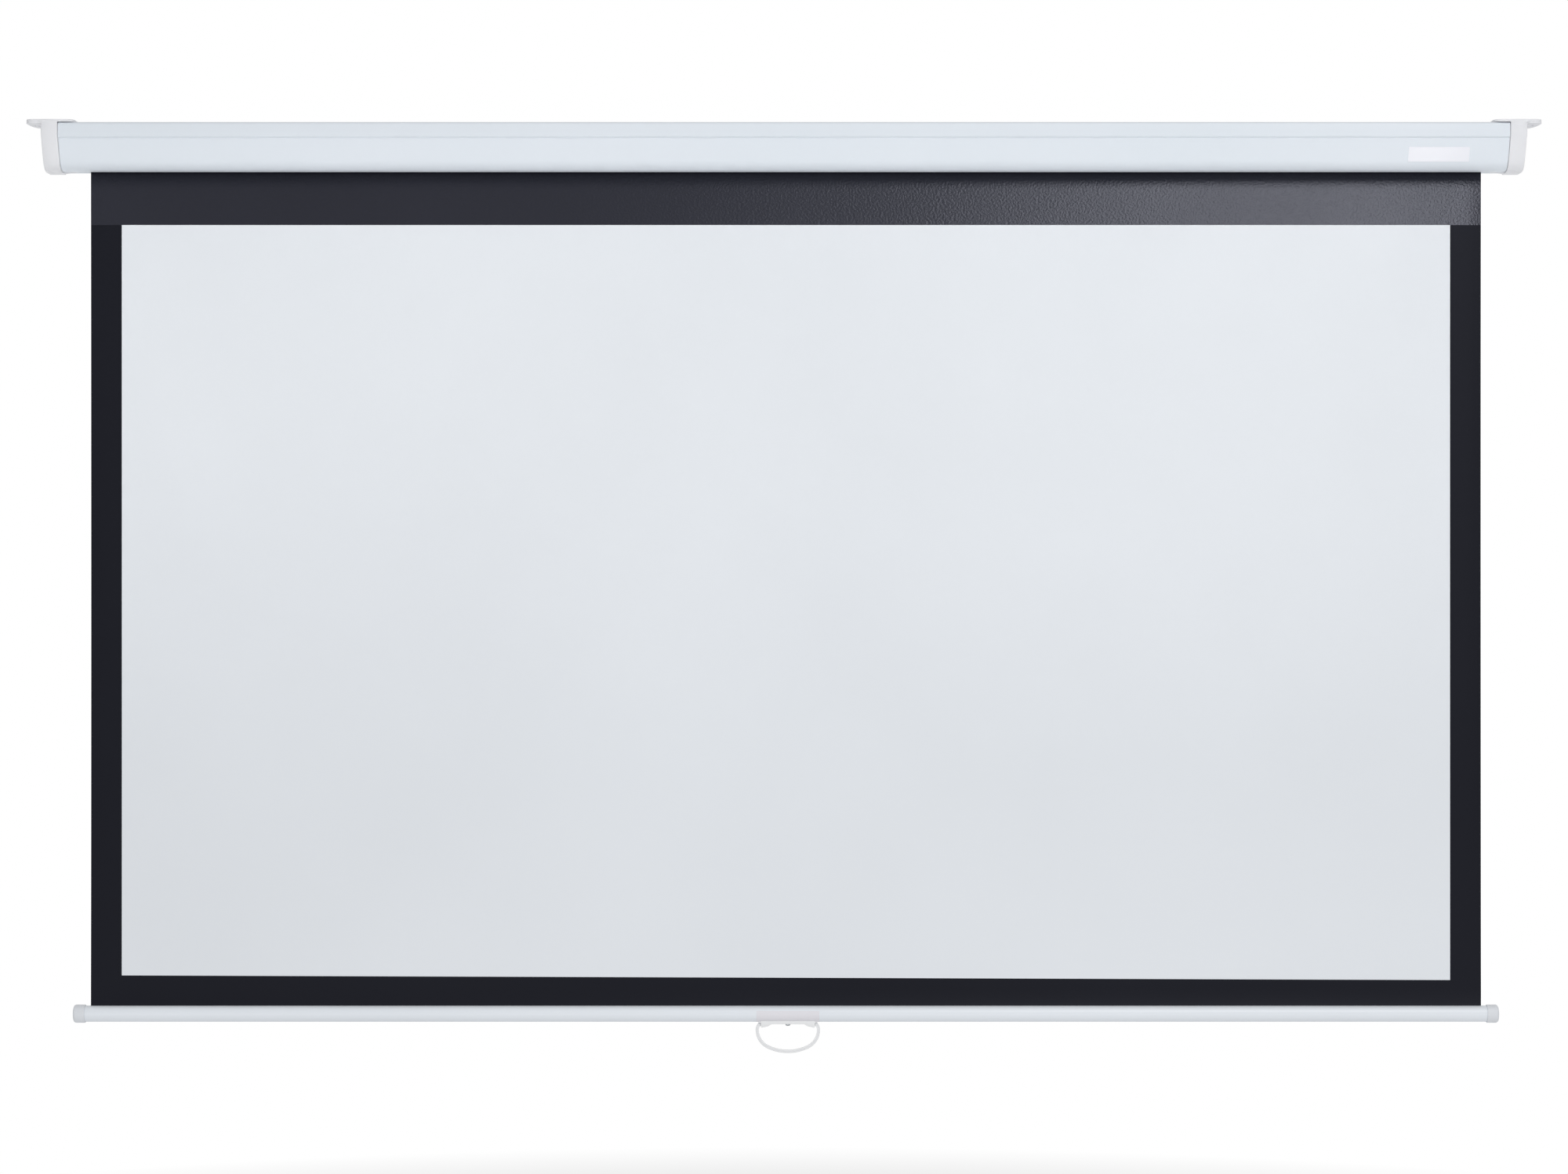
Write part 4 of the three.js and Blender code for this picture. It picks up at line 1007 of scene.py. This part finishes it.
outer_start = bm.verts.new(slot_edge(bar_radius, -1))
outer_end = arc_to(bm, outer_start, centre, X_AXIS, 360 - open_degrees(bar_radius), 88)
inner_start = line_to(bm, outer_end, *slot_edge(bar_inside, 1))
arc_to(bm, inner_start, centre, X_AXIS, open_degrees(bar_inside) - 360, 72)
pull_out(bm, (bar_high.x - bar_low.x, 0, 0))
dress(make_object("bar_cover", bm), bar_paint, "weight_bar", "bar_paint", "bar_tube")

# %% [markdown]
# ## The bar's caps
# A push-on cap closes each end. Its outline, from the plug inside the tube round the skirt to the
# domed end, is spun about the bar's axis.

# %% Spin the bar's caps
tube_end = -2.7 * MM
plug, plug_edge = bar_inside - play, 0.8 * MM
plug_end = tube_end - 10 * MM
seat = bar_radius + play
skirt_edge = 0.35 * MM
dome_radius = 3.6 * MM
for side, node in ((-1, "bar_cap_left"), (1, "bar_cap_right")):
    low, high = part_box(node)
    end_x = high.x if side > 0 else low.x
    skirt = high.x - low.x
    outside = (high.z - low.z) / 2
    bm = bmesh.new()
    tips = draw(bm, [(radius, 0, height) for radius, height in (
        (0, plug_end), (plug - plug_edge, plug_end), (plug, plug_end + plug_edge), (plug, tube_end),
        (seat, tube_end), (seat, -skirt), (outside - skirt_edge, -skirt),
        (outside, -skirt + skirt_edge), (outside, 0), (0, 0),
    )])
    round_corners(bm, [tips[-2]], dome_radius, 8)
    spin_solid(bm, (end_x, cloth_y, bar_z), (side, 0, 0), 72)
    dress(make_object(node + "_cover", bm, 35), bar_plastic, "weight_bar", "bar_plastic", node)

# %% [markdown]
# ## The handle's base
# A moulded saddle fits under the middle of the bar. Its outline has a wing at each end. It is
# pulled out from front to back, its edges are rounded, and then the bar's seat, the pin holes and
# the screw hole are cut.

# %% Shape the base
base_low, base_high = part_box("handle_base")
handle_x = (base_low.x + base_high.x) / 2
half = (base_high.x - base_low.x) / 2
under_bar = bar_z - bar_radius
base_wall = 2.6 * MM
wing_foot = base_low.z
plate_foot = under_bar - base_wall
waist_z = plate_foot + (wing_foot - plate_foot) * 0.57
wing_tip, waist, plate_end = half * 0.97, half * 0.73, half * 0.6
right_side = [
    (half, base_high.z), (half, wing_foot + base_wall / 2), (wing_tip, wing_foot),
    (waist, waist_z), (plate_end, plate_foot),
]
base_edge_radius = 0.6 * MM
bm = bmesh.new()
draw(bm, [
    (handle_x + offset, base_low.y, z)
    for offset, z in right_side + [(-offset, z) for offset, z in reversed(right_side)]
])
pull_out(bm, (0, base_high.y - base_low.y, 0))
soft_edges(bm, base_edge_radius, 3, 30)
base = make_object("handle_saddle", bm, 35)


def rod_tool(radius, start, end, sides=48):
    """A closed round bar from one point to another, to cut with or to join on."""
    bm = bmesh.new()
    way = Vector(end) - Vector(start)
    bmesh.ops.create_cone(
        bm, cap_ends=True, segments=sides, radius1=radius, radius2=radius,
        depth=way.length, matrix=standing((Vector(start) + Vector(end)) / 2, way),
    )
    face_outwards(bm)
    return make_object("rod_tool", bm)


def on_pivot(x):
    return (x, cloth_y, pivot_z)


pivot_z = under_bar - 3.4 * MM
pin_radius, pin_room, screw_room = 1.5 * MM, 1.8 * MM, 1.8 * MM
pin_hole_depth = 8 * MM
past = 3 * MM
tools = [rod_tool(
    bar_radius + play, (handle_x - half - past, cloth_y, bar_z),
    (handle_x + half + past, cloth_y, bar_z), 96,
)]
for side in (-1, 1):
    tools.append(rod_tool(
        pin_room, on_pivot(handle_x + side * (half - pin_hole_depth)),
        on_pivot(handle_x + side * (half + past)),
    ))
tools.append(rod_tool(
    screw_room, (handle_x, cloth_y, wing_foot - past), (handle_x, cloth_y, base_high.z),
))
combine(base, tools, "DIFFERENCE")
shade(base, 30)
dress(base, handle_plastic, "weight_bar", "handle_plastic", "handle_base")

# %% [markdown]
# The base's screw has a round pan head. It goes up through the plate and into the bar.

# %% Turn the base's screw
place = Vector((handle_x, cloth_y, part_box("handle_screw")[0].z))
screw = turn_screw("saddle_screw", [
    (0, 0), (1.9, 0), (2.7, -0.35), (3.25, -1.1), (3.4, -1.75), (3.35, -2.1), (3.2, -2.2),
    (1.5, -2.2), (1.5, -8.2), (0.3, -11.2), (0, -11.2),
], place, -Z_AXIS, 3.6 * MM, 0.8 * MM)
dress(screw, screw_zinc, "weight_bar", "screw_zinc", "handle_screw")

# %% [markdown]
# ## The pull handle
# The loop is a slim moulded bar, bent to a D. Its section has a shallow groove down the front and
# the back. The section is drawn at the foot of the loop and spun about three centres in turn: a
# wide arc along the foot, a tighter one up the side, and a small one in to the pin. The other half
# is its mirror image.

# %% Draw the loop's section and spin it
loop_width, loop_depth = 4.2 * MM, 5 * MM
half_width, half_depth = loop_width / 2, loop_depth / 2
groove_depth, loop_edge_radius = 0.45 * MM, 1.15 * MM
groove_floor, groove_side = 1 - groove_depth / half_depth, 0.22
foot_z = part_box("pull_handle")[0].z + half_width
section = (
    (1, 0), (1, 1), (groove_side, 1), (0, groove_floor), (-groove_side, 1), (-1, 1),
    (-1, -1), (-groove_side, -1), (0, -groove_floor), (groove_side, -1), (1, -1),
)
bm = bmesh.new()
tips = draw(bm, [
    (handle_x, cloth_y + back * half_depth, foot_z + up * half_width) for up, back in section
])
sharp = [tip for tip, (up, back) in zip(tips, section) if abs(up) == abs(back) == 1]
round_corners(bm, sharp, loop_edge_radius, 5)
join_ends(bm)
ring = bm.verts[:] + bm.edges[:]

# Each bend is a radius, its degrees and its steps.
bends = ((60 * MM, 25, 20), (24.7 * MM, 65, 30), (10 * MM, 44.4, 14))
heading, place = 0.0, Vector((handle_x, foot_z))
for radius, degrees, steps in bends:
    # The arc's centre lies to the left of the way that the loop is heading.
    turn = math.radians(heading)
    centre = Vector((place.x - radius * math.sin(turn), cloth_y, place.y + radius * math.cos(turn)))
    ring = spin(bm, ring, centre, -Y_AXIS, degrees, steps)
    heading += degrees
    turn = math.radians(heading)
    place = Vector((centre.x + radius * math.sin(turn), centre.z - radius * math.cos(turn)))
print(f"loop ends at x {place.x - handle_x:.4f}, z {place.y - pivot_z:.4f} from the pivot")
last_edges = [part for part in ring if isinstance(part, bmesh.types.BMEdge)]
bmesh.ops.contextual_create(bm, geom=last_edges)
from_middle = Matrix.Translation((handle_x, 0, 0))
turn_over = from_middle @ Matrix.Scale(-1, 4, X_AXIS) @ from_middle.inverted()
copied = bmesh.ops.duplicate(bm, geom=bm.verts[:] + bm.edges[:] + bm.faces[:])["geom"]
bmesh.ops.transform(bm, verts=only_points(copied), matrix=turn_over)
weld(bm, near)
face_outwards(bm)
loop = make_object("handle_loop", bm, 50)

# %% [markdown]
# Each end of the loop has a round eye beside its wing, and a pin that goes into the wing. Both are
# short rods on the swing's axis. A boolean joins them, because they cross the loop at a slant.

# %% Add the eyes and pins
eye_radius, eye_width = 2.5 * MM, 3 * MM
pin_depth = 7.7 * MM
for side in (-1, 1):
    inner = handle_x + side * (half + play)
    outer = handle_x + side * (half + play + eye_width)
    pin_end = handle_x + side * (half - pin_depth)
    combine(loop, [rod_tool(eye_radius, on_pivot(inner), on_pivot(outer))], "UNION")
    combine(loop, [rod_tool(pin_radius, on_pivot(pin_end), on_pivot(outer - side * MM))], "UNION")
shade(loop, 40)
dress(loop, handle_plastic, "handle", "handle_plastic", "pull_handle")

# %% [markdown]
# ## The plates
# A small plate lies on the case's leaning face near its right end, and a thin patch goes round
# the front of the bar above the handle. Both are blank, and each follows the surface under it.

# %% The plate on the case
badge_left, badge_right = 802.7 * MM, 881.2 * MM
badge_top, badge_foot = -1.6 * MM, -19.7 * MM
badge_thickness, badge_edge_radius = 0.6 * MM, 0.2 * MM


def on_face(z):
    """How far forward the case's front is at a height, on the leaning face or on the chin."""
    if z > chin.z - chin_radius * lean_down:
        return face_foot.y + (face_foot.z - z) * lean_down / lean_across
    return chin.y - math.sqrt(chin_radius ** 2 - (z - chin.z) ** 2)


bm = upright_grid(2, 12)
for v in bm.verts:
    v.co.x = badge_left + (badge_right - badge_left) * (v.co.x + 0.5)
    v.co.z = badge_foot + (badge_top - badge_foot) * (v.co.z + 0.5)
    v.co.y = on_face(v.co.z) - badge_thickness
face_front(bm)
thicken(bm, badge_thickness)
soft_edges(bm, badge_edge_radius, 2, 50)
dress(make_object("case_plate", bm, 30), badge_face, "case", "cap_plastic")

# %% [markdown]
# The patch is a thin film on the bar's round front. It is an arc about the bar's axis, pulled out
# sideways and given its thickness.

# %% The patch on the bar
patch_left, patch_right = -35.5 * MM, 45.6 * MM
patch_thickness = 0.15 * MM
patch_radius = bar_radius + patch_thickness
patch_start, patch_degrees = math.radians(155), 105
bm = bmesh.new()
tip = bm.verts.new((
    patch_left, cloth_y + patch_radius * math.cos(patch_start),
    bar_z + patch_radius * math.sin(patch_start),
))
arc_to(bm, tip, (patch_left, cloth_y, bar_z), X_AXIS, patch_degrees, 16)
pull_out_line(bm, (patch_right - patch_left, 0, 0))
face_outwards(bm)
thicken(bm, patch_thickness)
dress(make_object("bar_patch", bm, 30), patch_face, "weight_bar", "bar_plastic")

# %% [markdown]
# ## The camera
# The photograph was taken from straight in front with a long lens, a little above the middle of
# the picture area. The focal length is measured in the photograph's pixels, and the sensor's width
# turns it into millimetres.

# %% Place the camera
picture_pixels = 2000
focal_pixels = 4925
camera_distance, camera_height = 5.0135, -0.5669
lens = bpy.data.cameras.new("camera")
lens.sensor_width = 36
lens.lens = lens.sensor_width * focal_pixels / picture_pixels
camera = new_object("camera", lens)
camera.location = (0, -camera_distance, camera_height)
camera.rotation_euler = (math.pi / 2, 0, 0)
scene.camera = camera
print(f"lens {lens.lens:.2f} mm")

# %% [markdown]
# ## The light
# The photograph has a strong soft light high on the right, weaker ones from below, and white all
# round. The high lamp makes the sheen on the drop, and the case shades the drop's top edge from
# it. A narrow beam from below lifts the case's leaning face. The world is white for the camera and
# in reflections, and weaker where it lights the object.

# %% Hang the lamps
def lamp(name, place, aim, width, height, power, spread_degrees=180):
    """A rectangular lamp at a place, aimed at a point. Size is in metres, power in watts."""
    light = bpy.data.lights.new(name, "AREA")
    light.shape, light.size, light.size_y, light.energy = "RECTANGLE", width, height, power
    light.spread = math.radians(spread_degrees)
    holder = new_object(name, light)
    holder.location = place
    holder.rotation_euler = (Vector(aim) - Vector(place)).to_track_quat("-Z", "Y").to_euler()
    return holder


lamps = [
    lamp("key", (1.3, -3.8, 2.62), (0.3, 0, -0.4), 1.1, 1.6, 67),
    lamp("low_strip", (0, -3.0, -1.55), (0, 0, -0.2), 3.6, 0.5, 13.5),
    lamp("case_beam", (0, -1.2, -1.62), (0, -0.04, 0), 3.6, 0.3, 1.35, 40),
]
print("lamps:", ", ".join(holder.name for holder in lamps))

# %% [markdown]
# The world has two strengths. Light Path tells a camera, mirror or glass ray, which sees plain
# white, from one that only lights a surface.

# %% Make the world
def seen_rays(tree):
    """1 for a camera, mirror or glass ray, and 0 for one that only lights a surface."""
    path = add(tree, "LightPath")
    seen = maths(tree, "MAXIMUM", path.outputs["Is Camera Ray"], path.outputs["Is Glossy Ray"])
    return maths(tree, "MAXIMUM", seen, path.outputs["Is Transmission Ray"])


world = bpy.data.worlds.new("white_room")
scene.world = world
world.use_nodes = True
tree = world.node_tree
tree.nodes.clear()
lighting = 0.55
strength = maths(tree, "MULTIPLY_ADD", seen_rays(tree), 1 - lighting, lighting)
background = add(tree, "Background")
tree.links.new(strength, background.inputs["Strength"])
background.inputs["Color"].default_value = (1, 1, 1, 1)
world_end = add(tree, "OutputWorld")
tree.links.new(background.outputs["Background"], world_end.inputs["Surface"])
print("world made")

# %% [markdown]
# ## The floor
# The floor lies below the pulled-down bar and keeps its shadow. It is pale, and fades to the
# world's white at its rim, so that no edge shows. For rays that only light a surface, part of it
# glows, as a white floor under studio lamps does, and this lights the case and the bar from below.

# %% Lay the floor
floor_radius, floor_z = 3.2, -1.75
sent_up = 0.42
bm = bmesh.new()
bmesh.ops.create_circle(bm, cap_ends=True, segments=96, radius=floor_radius)
bmesh.ops.translate(bm, verts=bm.verts[:], vec=(0, 0, floor_z))
floor = make_object("floor", bm)
floor_finish = bpy.data.materials.new("floor_finish")
floor_finish.use_nodes = True
tree = floor_finish.node_tree
tree.nodes.clear()
where = add(tree, "TexCoord")
flat = add(tree, "VectorMath", operation="MULTIPLY")
tree.links.new(where.outputs["Object"], flat.inputs[0])
flat.inputs[1].default_value = (1, 1, 0)
distance = add(tree, "VectorMath", operation="LENGTH")
tree.links.new(flat.outputs[0], distance.inputs[0])
# The fade starts 1.7 m from the middle, and is complete just inside the rim.
rim_share = maths(tree, "MULTIPLY_ADD", distance.outputs["Value"], 0.7, -1.2, clamp=True)
seen = seen_rays(tree)
floor_light = maths(tree, "MULTIPLY", maths(tree, "SUBTRACT", 1.0, seen), sent_up)
fade = maths(tree, "ADD", maths(tree, "MULTIPLY", rim_share, seen), floor_light)
kinds = ("BsdfDiffuse", "Emission", "MixShader", "OutputMaterial")
matt, glow, mixed, out = (add(tree, kind) for kind in kinds)
speckle = noise(tree, where.outputs["Object"], 6.0, 3.0)
pale = mix_colour(tree, speckle, (0.80, 0.80, 0.80, 1), (0.84, 0.84, 0.84, 1))
tree.links.new(pale, matt.inputs["Color"])
glow.inputs["Color"].default_value = (1, 1, 1, 1)
tree.links.new(fade, mixed.inputs["Fac"])
tree.links.new(matt.outputs[0], mixed.inputs[1])
tree.links.new(glow.outputs[0], mixed.inputs[2])
tree.links.new(mixed.outputs[0], out.inputs["Surface"])
floor.data.materials.append(floor_finish)
print("floor laid")

# %% [markdown]
# ## Colour
# The standard view transform shows a colour as it is written.

# %% Set the view
scene.view_settings.view_transform = "Standard"
